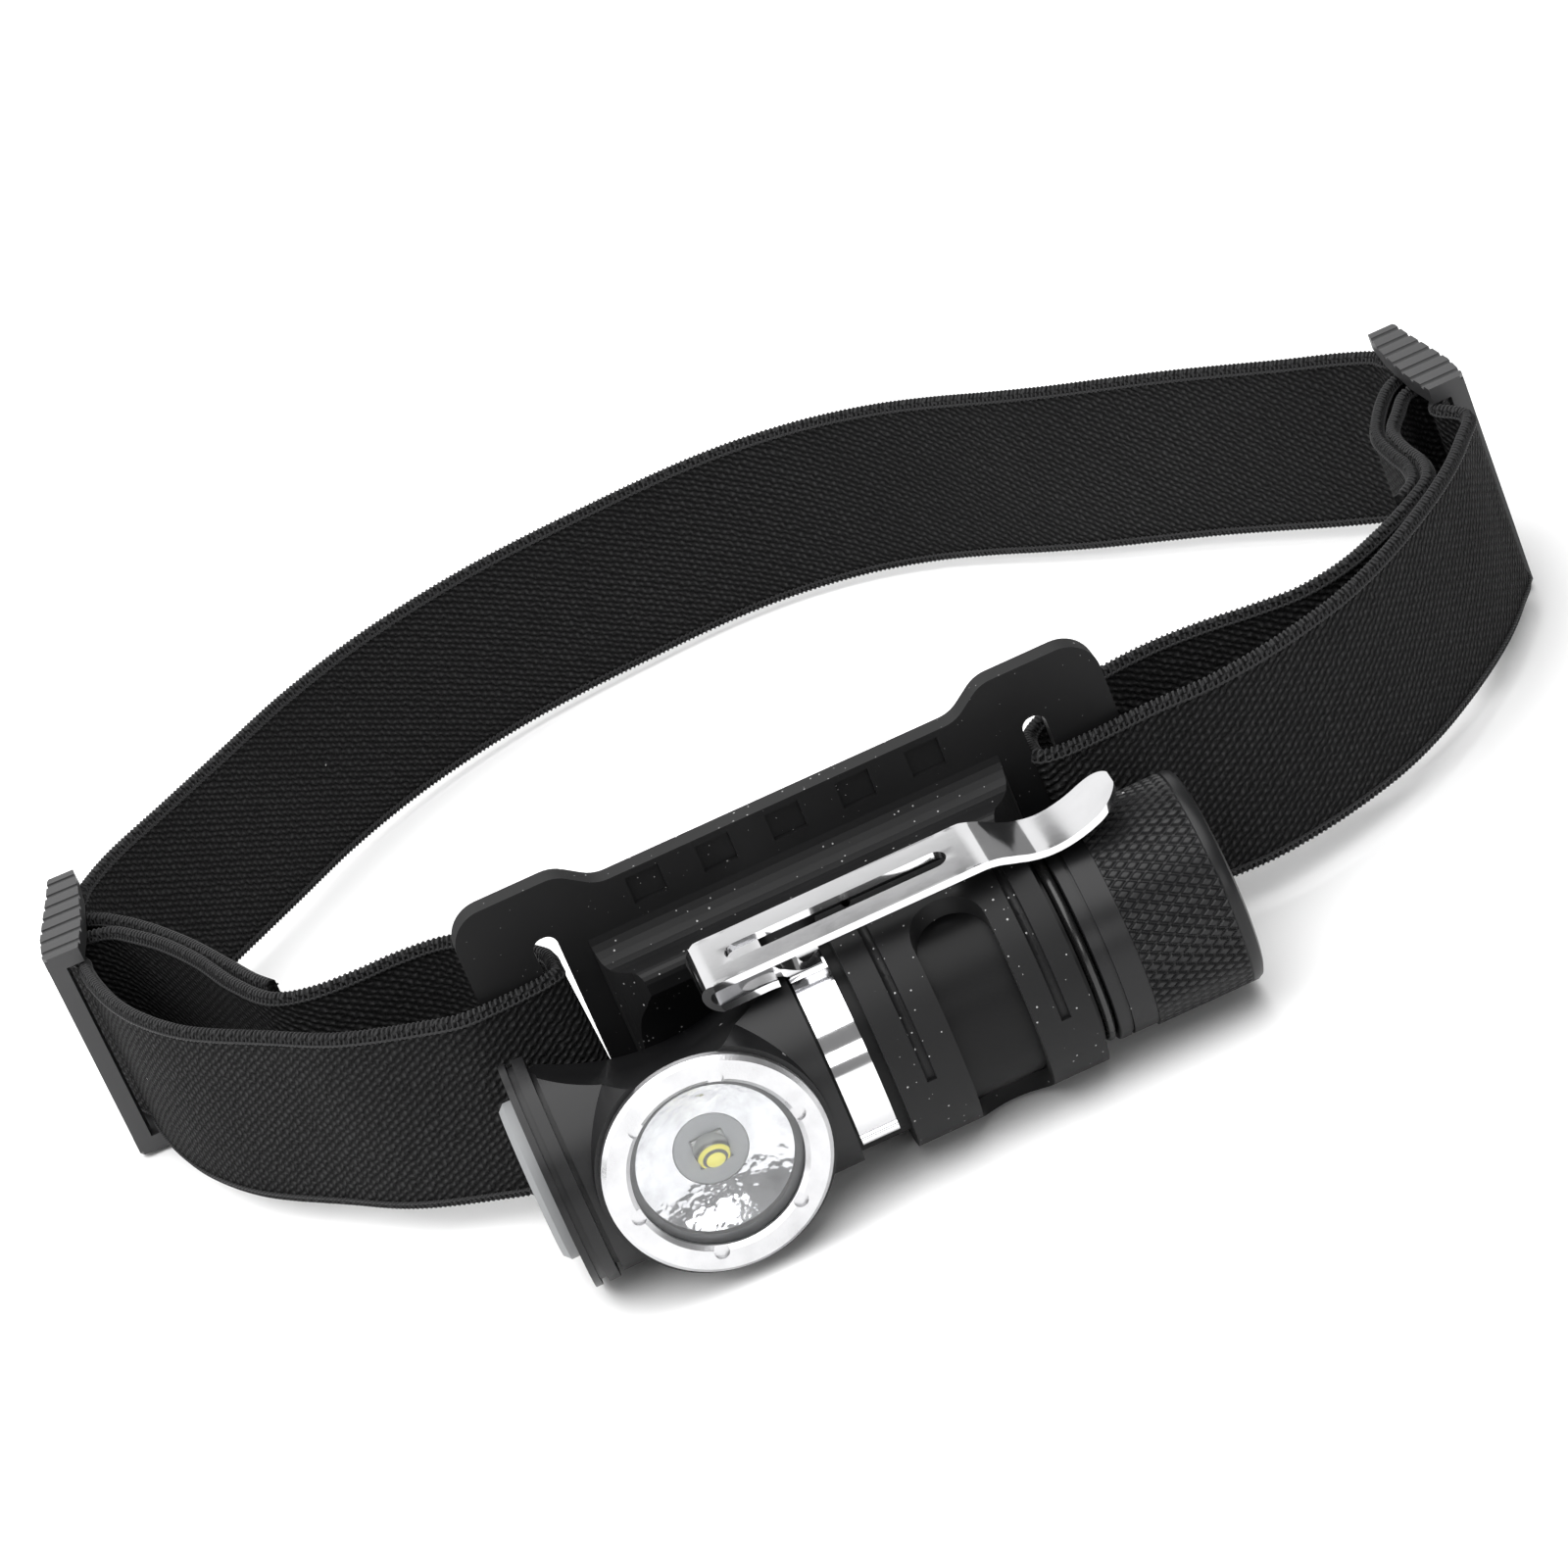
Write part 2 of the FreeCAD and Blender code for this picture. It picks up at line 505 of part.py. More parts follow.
# ---------------------------------------------------------------- pocket clip
thick = num("clip_thick")
legZ, topZ = num("clip_leg") + thick / 2, num("clip_top") - thick / 2
bandTop = num("clip_band_bore_r") + thick / 2
bendR = (topZ - legZ) / 2
bendX = num("clip_left") + thick / 2 + bendR
bandX = num("clip_band_from")
flatTo, tipX = num("clip_flat_to"), num("clip_tip")
restZ = num("ring_r") + 0.25 + thick / 2
bend = [(bendX - bendR * math.sin(math.radians(a)), legZ + bendR * (1 - math.cos(math.radians(a))))
        for a in (0, 30, 60, 90, 120, 150, 180)]
sidePath = [(bandX + 4.2, bandTop), (bandX + 1.9, bandTop), (bandX + 0.7, bandTop + 0.5),
            (bandX - 0.4, legZ - 0.3), (bandX - 1.6, legZ), (bendX + 2.4, legZ)] + bend + [
            (bendX + 3, topZ), ((bendX + flatTo) / 2, topZ), (flatTo - 2.5, topZ), (flatTo, topZ),
            (flatTo + 1.9, topZ - 0.5), (flatTo + 3.7, restZ + 0.7), (flatTo + 5.4, restZ),
            (flatTo + 7.6, restZ - 0.45), (flatTo + 9.6, restZ - 0.4), (flatTo + 12, restZ + 0.1),
            (flatTo + 14.4, restZ + 1.0), (tipX - 1.0, restZ + 2.0), (tipX, restZ + 2.5)]
sideFace = ribbonFace(sidePath, thick, 0.8)
sideFace.rotate(Vector(0, 0, 0), Vector(1, 0, 0), 90)
half, tipHalf = num("clip_half"), num("clip_tip_half")
sideFace.translate(Vector(0, half + 1, 0))
sideSolid = sideFace.extrude(Vector(0, -2 * (half + 1), 0))
left = num("clip_left")
tipC = tipX - tipHalf
corner = 1.6
edgeTop = [Vector(left - 1, -half + corner + 1, 0), Vector(left - 1, half - corner - 1, 0)]
outline = [Vector(left - 1, half - corner, 0), Vector(left + corner, half, 0),
           Vector(flatTo, half, 0), Vector(flatTo + 4.2, tipHalf + 0.15, 0),
           Vector(flatTo + 8.0, tipHalf, 0), Vector(tipC, tipHalf, 0)]
mirrored = [Vector(p.x, -p.y, 0) for p in outline[::-1]]
outlineEdges = [Part.LineSegment(a, b).toShape() for a, b in zip(outline, outline[1:])]
outlineEdges.append(Part.Arc(outline[-1], Vector(tipX, 0, 0), mirrored[0]).toShape())
outlineEdges += [Part.LineSegment(a, b).toShape() for a, b in zip(mirrored, mirrored[1:])]
outlineEdges.append(Part.LineSegment(mirrored[-1], outline[0]).toShape())
planSolid = Part.Face(Part.Wire(outlineEdges)).extrude(Vector(0, 0, 30))
strip = sideSolid.common(planSolid)
slotHalf = num("clip_slot_half")
slotA, slotB = num("clip_slot_from") + slotHalf, num("clip_slot_to") - slotHalf
slotTool = Part.makeBox(slotB - slotA, 2 * slotHalf, 4, Vector(slotA, -slotHalf, topZ - 1.4))
for x in (slotA, slotB):
    slotTool = slotTool.fuse(Part.makeCylinder(slotHalf, 4, Vector(x, 0, topZ - 1.4)))
strip = strip.cut(slotTool)
neckHalf = 2.6
for side in (1, -1):
    trim = Part.makeBox(9, 4, 3.0, Vector(bandX - 1.2, neckHalf if side > 0 else -neckHalf - 4,
                                          bandTop - 1.0))
    strip = strip.cut(trim)
bandLen = num("clip_band_to") - bandX
boreR = num("clip_band_bore_r")
reach = num("clip_reach")
band = Part.makeCylinder(boreR + thick, bandLen, Vector(0, 0, 0), Vector(0, 0, 1), 2 * reach)
band = band.cut(Part.makeCylinder(boreR, bandLen, Vector(0, 0, 0), Vector(0, 0, 1)))
band.rotate(Vector(0, 0, 0), Vector(0, 0, 1), -reach)
band.rotate(Vector(0, 0, 0), Vector(0, 1, 0), 90)
band.rotate(Vector(0, 0, 0), Vector(1, 0, 0), 180)
band.translate(Vector(bandX, 0, 0))
clip = strip.fuse(band)
curlR = num("clip_curl_r")
for side in (1, -1):
    a = math.radians(90 + side * (reach + 1.5))
    r = boreR + curlR + 0.15
    clip = clip.fuse(Part.makeCylinder(curlR, bandLen, Vector(bandX, -r * math.cos(a), r * math.sin(a)),
                                       Vector(1, 0, 0)))
keep("pocket_clip", solid("pocket_clip", clip.removeSplitter()),
     lightPlace(num("clip_turn") + num("light_pitch")))

# ---------------------------------------------------------------- silicone holder
slope = S.wing_slope
wingA, wingB = S.plate_left + S.wing_len, S.plate_right - S.wing_len
low, top, wing = S.plate_bottom, S.plate_top, S.wing_top
plate = prism("plate", [
    (S.plate_left, low), (S.plate_right, low), (S.plate_right, wing), (wingB + slope, wing),
    (wingB - slope * 0.2, top), (wingA + slope * 0.2, top), (wingA - slope, wing),
    (S.plate_left, wing)], S.plate_front + S.plate_thick, S.plate_thick, "XZ_Plane")
hollowR, lipR = 3.4, 1.3
hollow = [(S.plate_front - (hollowR - hollowR * math.cos(math.radians(a))),
           S.saddle_high + hollowR * (0.2 - math.sin(math.radians(a)))) for a in range(0, 91, 15)]
saddleTop = S.saddle_high - hollowR * 0.8
lip = [(S.plate_front - S.saddle_deep + (lipR - lipR * math.sin(math.radians(a))),
        saddleTop - (lipR - lipR * math.cos(math.radians(a)))) for a in (0, 22, 45, 67, 90)]
saddleRun = prism("saddle_run", [
    (S.plate_front + 0.6, S.saddle_low), (S.plate_front + 0.6, S.saddle_high + hollowR * 0.2)]
    + hollow + lip + [(S.plate_front - S.saddle_deep, S.saddle_low)],
    S.saddle_from, S.saddle_to - S.saddle_from, "YZ_Plane")
ramp = [(0, 1.0), (0, 0), (0.35, -1.4), (1.0, -2.8), (1.9, -4.1), (3.0, -5.2), (4.4, -8.0)]
saddlePlan = prism("saddle_plan", [(S.saddle_from + x, S.plate_front + y) for x, y in ramp]
                   + [(S.saddle_to - x, S.plate_front + y) for x, y in ramp[::-1]],
                   -20, 40, "XY_Plane")
saddle = doc.addObject("Part::MultiCommon", "saddle")
saddle.Shapes = [saddleRun, saddlePlan]
sleeve = cylinder("sleeve", S.ring_r, S.sleeve_to - S.sleeve_from, (S.sleeve_from, 0, 0), (1, 0, 0))
holderBlank = fuse("holder_blank", [plate, saddle, sleeve])
boreTool = cylinder("holder_bore", S.ring_bore_r, 120, (-20, 0, 0), (1, 0, 0))
headClear = cylinder("head_clear", S.saddle_clear_r, S.sleeve_from + 20, (-20, 0, 0), (1, 0, 0))
tailClear = cylinder("tail_clear", S.saddle_clear_r, 60, (S.sleeve_to, 0, 0), (1, 0, 0))
windowR = (S.window_to - S.window_from) * 0.5
windowX = (S.window_to + S.window_from) * 0.5
windowBox = block("window_box", (S.window_from, -20, -20), (S.window_to, -S.window_top - windowR, 20))
windowEnd = cylinder("window_end", windowR, 40, (windowX, -S.window_top - windowR, -20), (0, 0, 1))
holderTools = [boreTool, headClear, tailClear, windowBox, windowEnd]
for name, x in (("a", S.ring_groove_a), ("b", S.ring_groove_b)):
    groove = doc.addObject("Part::Torus", f"ring_groove_{name}")
    bind(groove, "Radius1", S.ring_r + 0.1)
    bind(groove, "Radius2", S.ring_groove_r)
    bind(groove, "Angle3", S.ring_groove_sweep)
    turn = FreeCAD.Rotation(Vector(1, 0, 0), 125).multiply(FreeCAD.Rotation(Vector(0, 1, 0), 90))
    groove.Placement = FreeCAD.Placement(Vector(x.value, 0, 0), turn)
    bind(groove, "Placement.Base.x", x)
    holderTools.append(groove)
for i in range(5):
    x = S.recess_first + S.recess_pitch * i
    holderTools.append(block(f"recess_{i}", (x, S.plate_front - 1, S.recess_low),
                             (x + S.recess_wide, S.plate_front + S.recess_depth, S.recess_high)))
slots = (("left", S.plate_left + S.slot_in), ("right", S.plate_right - S.slot_in - S.slot_wide))
for name, x in slots:
    holderTools.append(block(f"slot_{name}", (x, S.plate_front - 1, S.slot_low),
                             (x + S.slot_wide, S.plate_front + S.plate_thick + 1, S.slot_high)))
holder = cut("holder_raw", holderBlank, fuse("holder_tools", holderTools))
doc.recompute()


def edgesAlongY(shape, low, high):
    """Numbers of the straight front-to-back edges between two heights."""
    found = []
    for i, e in enumerate(shape.Edges, start=1):
        a, b = e.Vertexes[0].Point, e.Vertexes[-1].Point
        straight = abs(a.x - b.x) < 1e-4 and abs(a.z - b.z) < 1e-4 and abs(a.y - b.y) > 1
        if straight and low - 0.01 < a.z < high + 0.01:
            found.append(i)
    return found


rounded = doc.addObject("Part::Fillet", "silicone_holder")
rounded.Base = holder
slotEdges = edgesAlongY(holder.Shape, num("slot_high"), num("slot_high"))
rimEdges = edgesAlongY(holder.Shape, num("plate_top"), num("wing_top"))
footEdges = edgesAlongY(holder.Shape, num("plate_bottom"), num("plate_bottom"))
corner, slotCorner = num("plate_corner"), num("slot_corner")
rounded.Edges = ([(i, corner, corner) for i in rimEdges] + [(i, 3.0, 3.0) for i in footEdges]
                 + [(i, slotCorner, slotCorner) for i in slotEdges])
home = FreeCAD.Placement(Vector(num("axis_x"), num("axis_y"), num("axis_z")), FreeCAD.Rotation())
keep("silicone_holder", rounded, home)

# ---------------------------------------------------------------- strap and buckles
bandTurn = FreeCAD.Rotation(Vector(1, 0, 0), -num("strap_tilt"))
pivot = Vector(0, num("tilt_y"), 0)
bandHome = home.multiply(FreeCAD.Placement(pivot + Vector(0, 0, num("strap_z")), bandTurn))
bandHome = bandHome.multiply(FreeCAD.Placement(pivot * -1, FreeCAD.Rotation()))


def bucklePlace(side):
    centre = Vector(num(f"{side}_buckle_x"), num(f"{side}_buckle_y"), 0)
    turn = FreeCAD.Rotation(Vector(0, 0, 1), num(f"{side}_buckle_turn"))
    return FreeCAD.Placement(centre, turn)


def fromBuckle(side, points):
    """Points given as (along the band, outward) from a buckle's centre bar, in plan."""
    out = 1 if side == "right" else -1
    moved = [bucklePlace(side).multVec(Vector(w * out, u, 0)) for u, w in points]
    return [(p.x, p.y) for p in moved]


wrap = num("centre_bar_thick") / 2 + num("strap_thick") / 2 + 0.2
over = wrap + num("strap_thick") + 0.25
loopHalf = num("centre_bar_half") + num("strap_thick") / 2 + 0.8
barLoop = [(-loopHalf - 0.5, -2.6), (-loopHalf, -0.2), (-1.3, wrap), (1.3, wrap),
           (loopHalf, 0.1), (loopHalf - 0.2, -1.5)]
barEdge = num("buckle_half") - num("bar_wide") / 2
slidePath = [(-barEdge - 0.6, -1.1), (1.4 - barEdge, -0.9), (-6.0, 0.9), (-2.6, over - 0.25),
             (0, over), (2.6, over - 0.25), (6.0, 0.9), (barEdge - 1.4, -0.9),
             (barEdge + 0.6, -1.3)]
frontY = num("plate_front") - num("strap_thick") / 2 - 0.8
backY = num("plate_front") + num("plate_thick")
leftSlot = num("plate_left") + num("slot_in") + num("slot_wide") / 2
rightSlot = num("plate_right") - num("slot_in") - num("slot_wide") / 2
leftTail = [(-21.4, 46.5), (-24.5, 56.5), (-28.2, 66.0)] + fromBuckle(
    "left", [(-8.4, -10.6), (-2.4, -6.6), (1.0, -3.6)])
leftInner = fromBuckle("left", [(-4.6, -5.2), (-8.6, -8.2), (-13.6, -11.4)]) + [
    (-28.9, 61.4), (-25.3, 50.0), (-21.3, 41.6), (-17.0, 38.8), (-11.3, 37.9), (-6.4, 37.8),
    (-0.4, 36.4), (4.2, 32.4), (7.9, 26.0), (leftSlot - 0.2, backY + 2.6),
    (leftSlot + 0.2, backY - 1.0), (leftSlot, frontY + 0.9), (leftSlot - 1.9, frontY)]
leftOuter = [(5.4, frontY - 0.2), (2.6, frontY - 0.2), (-1.4, frontY + 0.15), (-6.2, 17.4),
             (-15.6, 24.0), (-23.3, 32.5), (-32.4, 43.3), (-37.4, 52.5), (-40.2, 60.3),
             (-42.0, 68.0)]
rear = [(-36.6, 103.0), (-28.0, 111.2), (-18.5, 120.2), (-9.0, 129.2), (1.0, 136.4), (10.0, 141),
        (20.0, 144.5), (29.0, 146.3), (38.0, 147.3), (47.0, 148), (56.0, 147.8), (64.0, 146.2),
        (72.0, 143), (80.0, 137.8), (87.0, 131.4), (93.5, 124.4), (100.0, 117.8), (107.0, 111.4),
        (113.5, 105.4), (120.0, 98.8), (126.5, 92.0), (132.6, 86.0)]
rightOuter = [(138.2, 53.4), (135.2, 47.4), (130.7, 40.6), (124.0, 32.8), (116.0, 25.2),
              (110.0, 20.9), (104.0, 18.0), (98.0, 15.9), (91.0, 14.6), (84.6, frontY + 0.2),
              (78.0, frontY - 0.2), (75.4, frontY - 0.2)]
rightInner = [(rightSlot + 1.9, frontY), (rightSlot, frontY + 0.9), (rightSlot - 0.2, backY - 1.0),
              (rightSlot + 0.2, backY + 2.4), (73.6, 24.6), (78.0, 27.8), (83.0, 29.3),
              (89.0, 29.9), (95.0, 29.2), (101.0, 27.7), (107.0, 26.8), (113.0, 28.4),
              (119.0, 32.2), (124.6, 36.9), (128.4, 41.2), (129.6, 46.0), (129.4, 51.5)] + fromBuckle(
              "right", [(-12.0, -7.6), (-7.6, -5.4)])
rightTail = fromBuckle("right", [(0.6, -3.7), (-4.4, -6.9), (-11.2, -9.9), (-18.5, -10.4),
                                 (-23.5, -10.6)])
strapPath = (leftTail + fromBuckle("left", barLoop[::-1]) + leftInner + leftOuter
             + fromBuckle("left", slidePath) + rear + fromBuckle("right", slidePath[::-1])
             + rightOuter + rightInner + fromBuckle("right", barLoop) + rightTail)
strapFace = ribbonFace(strapPath, num("strap_thick"), 1.0)
strapWide = num("strap_wide")
strapFace.translate(Vector(0, 0, -strapWide / 2))
strap = solid("headband_strap", strapFace.extrude(Vector(0, 0, strapWide)))
keep("headband_strap", strap, bandHome)


def makeBuckle(side):
    """Three-bar slider: two ribbed end plates joined by two outer bars and a centre bar."""
    out = 1 if side == "right" else -1
    halfLen, high, window = S.buckle_half, S.buckle_high, S.buckle_window
    plan = [(-1.6, -1), (2.6, -1), (3.2, -0.92), (3.4, -0.45), (2.9, 0.1), (2.4, 0.6),
            (2.2, 0.95), (2.0, 1), (-1.4, 1), (-2.0, 0.4), (-2.1, -0.4)]
    name = f"buckle_{side}"
    corners = [(w * out, halfLen * u) for w, u in plan]
    endHigh = (high - window) * 0.5
    ends = [prism(f"{name}_top", corners, window * 0.5, endHigh, "XY_Plane"),
            prism(f"{name}_bottom", corners, high * -0.5, endHigh, "XY_Plane")]
    bars = []
    spans = {"front": (-halfLen, -halfLen + S.bar_wide, 0.8),
             "rear": (halfLen - S.bar_wide, halfLen, 0.8),
             "centre": (-S.centre_bar_half, S.centre_bar_half, -num("centre_bar_thick") / 2)}
    for bar, (y0, y1, inner) in spans.items():
        deep = S.centre_bar_thick if bar == "centre" else S.bar_thick
        deep = S.bar_thick * 0.6 if bar == "rear" else deep
        near = asDim(inner * out) if out > 0 else -(deep + inner)
        bars.append(block(f"{name}_{bar}", (near, y0, high * -0.5 + 0.5),
                          (near + deep, y1, high * 0.5 - 0.5)))
    blank = fuse(f"{name}_blank", ends + bars)
    ribs = []
    for i in range(-3, 4):
        for face in (-1, 1):
            letter = "t" if face > 0 else "b"
            ribs.append(cylinder(f"{name}_rib_{letter}{i + 3}", S.rib_r, 14,
                                 (-7, S.rib_pitch * i, high * (face * 0.5)), (1, 0, 0)))
    keep(name, cut(name, blank, fuse(f"{name}_ribs", ribs)), bandHome.multiply(bucklePlace(side)))


makeBuckle("left")
makeBuckle("right")

# ---------------------------------------------------------------- check and write
doc.recompute()
for obj in doc.Objects:
    bad = [s for s in obj.State if s in ("Invalid", "Error")]
    if bad:
        raise RuntimeError(f"{obj.Name} is {bad}")
os.makedirs("parts", exist_ok=True)
for label, obj in nodes.items():
    shape = obj.Shape
    if shape.isNull() or not shape.isValid() or not shape.Solids:
        raise RuntimeError(f"{label} has no valid solid")
    if len(shape.Solids) != 1:
        print("several solids in", label, len(shape.Solids))
    shape.exportStep(f"parts/{label}.step")
box = Part.makeCompound([obj.Shape for obj in nodes.values()]).BoundBox
print("nodes", len(nodes))
print("box", [round(v, 3) for v in (box.XMin, box.XMax, box.YMin, box.YMax, box.ZMin, box.ZMax)])
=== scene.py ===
import math

import bpy
import numpy as np
from mathutils import Matrix, Vector


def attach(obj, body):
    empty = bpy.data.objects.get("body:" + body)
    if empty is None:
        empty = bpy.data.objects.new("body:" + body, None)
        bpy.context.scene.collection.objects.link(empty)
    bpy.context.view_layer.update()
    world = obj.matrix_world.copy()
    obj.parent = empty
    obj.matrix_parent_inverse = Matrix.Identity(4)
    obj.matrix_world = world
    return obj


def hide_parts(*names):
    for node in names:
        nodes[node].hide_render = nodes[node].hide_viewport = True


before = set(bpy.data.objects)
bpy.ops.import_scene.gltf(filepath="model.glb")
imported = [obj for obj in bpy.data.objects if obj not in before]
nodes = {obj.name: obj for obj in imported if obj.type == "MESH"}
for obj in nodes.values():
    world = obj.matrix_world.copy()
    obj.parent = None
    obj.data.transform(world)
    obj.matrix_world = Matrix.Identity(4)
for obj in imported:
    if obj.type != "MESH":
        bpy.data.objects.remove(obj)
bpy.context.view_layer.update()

mm = 0.001
fullTurn = 2 * math.pi

# the light's axis where its switch end starts, and how far its lens looks up
light = {"axis": (-47.111, -66.58, 14.329), "pitch": 3.2, "lensX": 17.86}
axisPoint = Vector(light["axis"])
lightFrame = (Matrix.Translation(axisPoint)
              @ Matrix.Rotation(math.radians(-light["pitch"]), 4, "X"))


def lightSpot(x, y, z):
    return lightFrame @ Vector((x, y, z)) * mm


# ---- camera first
view = {"eye": (14.84, -489.182, 271.29), "turn": -3.115, "rise": 26.007, "roll": -22.99,
        "lens": 114.8, "sensor": 36, "near": 0.01}


def placeCamera():
    turn, rise, roll = (math.radians(view[k]) for k in ("turn", "rise", "roll"))
    back = Vector((math.sin(turn) * math.cos(rise), -math.cos(turn) * math.cos(rise),
                   math.sin(rise)))
    right = Vector((math.cos(turn), math.sin(turn), 0))
    up = back.cross(right)
    camRight = right * math.cos(roll) + up * math.sin(roll)
    camUp = up * math.cos(roll) - right * math.sin(roll)
    data = bpy.data.cameras.new("productCamera")
    data.lens = view["lens"]
    data.sensor_width = view["sensor"]
    data.clip_start = view["near"]
    camera = bpy.data.objects.new("productCamera", data)
    bpy.context.scene.collection.objects.link(camera)
    eye = (Vector(view["eye"]) + axisPoint) * mm
    camera.matrix_world = Matrix(((camRight.x, camUp.x, back.x, eye.x),
                                  (camRight.y, camUp.y, back.y, eye.y),
                                  (camRight.z, camUp.z, back.z, eye.z),
                                  (0, 0, 0, 1)))
    bpy.context.scene.camera = camera


placeCamera()
print("camera placed")


# ---- node helpers
def addGroup(name, inputs, outputs):
    group = bpy.data.node_groups.new(name, "ShaderNodeTree")
    for label, kind, value in inputs:
        socket = group.interface.new_socket(name=label, in_out="INPUT", socket_type=kind)
        if value is not None:
            socket.default_value = value
    for label, kind in outputs:
        group.interface.new_socket(name=label, in_out="OUTPUT", socket_type=kind)
    source = group.nodes.new("NodeGroupInput")
    target = group.nodes.new("NodeGroupOutput")
    return group, source, target


def mathNode(tree, operation, a, b=None, clamp=False):
    node = tree.nodes.new("ShaderNodeMath")
    node.operation = operation
    node.use_clamp = clamp
    for i, item in enumerate((a, b)):
        if item is None:
            continue
        if isinstance(item, (int, float)):
            node.inputs[i].default_value = item
        else:
            tree.links.new(item, node.inputs[i])
    return node.outputs[0]


def noiseNode(tree, vector, scale, detail=3.0, rough=0.55):
    node = tree.nodes.new("ShaderNodeTexNoise")
    node.inputs["Detail"].default_value = detail
    node.inputs["Roughness"].default_value = rough
    if isinstance(scale, (int, float)):
        node.inputs["Scale"].default_value = scale
    else:
        tree.links.new(scale, node.inputs["Scale"])
    tree.links.new(vector, node.inputs["Vector"])
    return node.outputs["Fac"]


def rampNode(tree, value, low, high, fromValue=0.0, toValue=1.0):
    node = tree.nodes.new("ShaderNodeMapRange")
    for label, item in (("From Min", low), ("From Max", high), ("To Min", fromValue),
                        ("To Max", toValue)):
        if isinstance(item, (int, float)):
            node.inputs[label].default_value = item
        else:
            tree.links.new(item, node.inputs[label])
    tree.links.new(value, node.inputs["Value"])
    return node.outputs["Result"]


# fine mould or blast grain that breaks up gloss and gives a soft bump
def makeGrainGroup():
    group, source, target = addGroup(
        "surfaceGrain",
        [("Vector", "NodeSocketVector", None), ("Grain per metre", "NodeSocketFloat", 4000.0),
         ("Cloud per metre", "NodeSocketFloat", 60.0)],
        [("Height", "NodeSocketFloat"), ("Cloud", "NodeSocketFloat")])
    grain = noiseNode(group, source.outputs["Vector"], source.outputs["Grain per metre"], 2.0)
    cloud = noiseNode(group, source.outputs["Vector"], source.outputs["Cloud per metre"], 4.0)
    group.links.new(grain, target.inputs["Height"])
    group.links.new(rampNode(group, cloud, 0.3, 0.7), target.inputs["Cloud"])
    return group


# pale lint and dust: small uneven specks scattered over a clingy surface
specks = {"raggedPerMetre": 5200.0, "ragged": 0.06, "largest": 1.3}


def makeDustGroup():
    group, source, target = addGroup(
        "lintSpecks",
        [("Vector", "NodeSocketVector", None), ("Specks per metre", "NodeSocketFloat", 700.0),
         ("Share", "NodeSocketFloat", 0.1), ("Size", "NodeSocketFloat", 0.1)],
        [("Mask", "NodeSocketFloat")])
    cells = group.nodes.new("ShaderNodeTexVoronoi")
    group.links.new(source.outputs["Vector"], cells.inputs["Vector"])
    group.links.new(source.outputs["Specks per metre"], cells.inputs["Scale"])
    white = group.nodes.new("ShaderNodeSeparateColor")
    group.links.new(cells.outputs["Color"], white.inputs[0])
    chosen = mathNode(group, "LESS_THAN", white.outputs[0], source.outputs["Share"])
    wobble = noiseNode(group, source.outputs["Vector"], specks["raggedPerMetre"], 1.0)
    size = mathNode(group, "MULTIPLY", source.outputs["Size"],
                    mathNode(group, "MULTIPLY", white.outputs[1], specks["largest"]))
    reach = mathNode(group, "SUBTRACT", size,
                     mathNode(group, "MULTIPLY", wobble, specks["ragged"]))
    spot = mathNode(group, "LESS_THAN", cells.outputs["Distance"], reach)
    group.links.new(mathNode(group, "MULTIPLY", chosen, spot), target.inputs["Mask"])
    return group


# knitted elastic: slanted ribs cut into short grains, on the band's own length and width; besides
# the bump height it puts out painted shade, dark in the knit's valleys and lighter on its crests
weave = {"driftPerMetre": 900.0, "rowShift": 2.4, "grainSlant": 0.35, "ribFlat": 0.7,
         "grainLow": 0.45, "fuzzPerMetre": 7000.0, "fuzz": 0.35, "shadeGain": 0.8,
         "shadeCurve": 1.8}


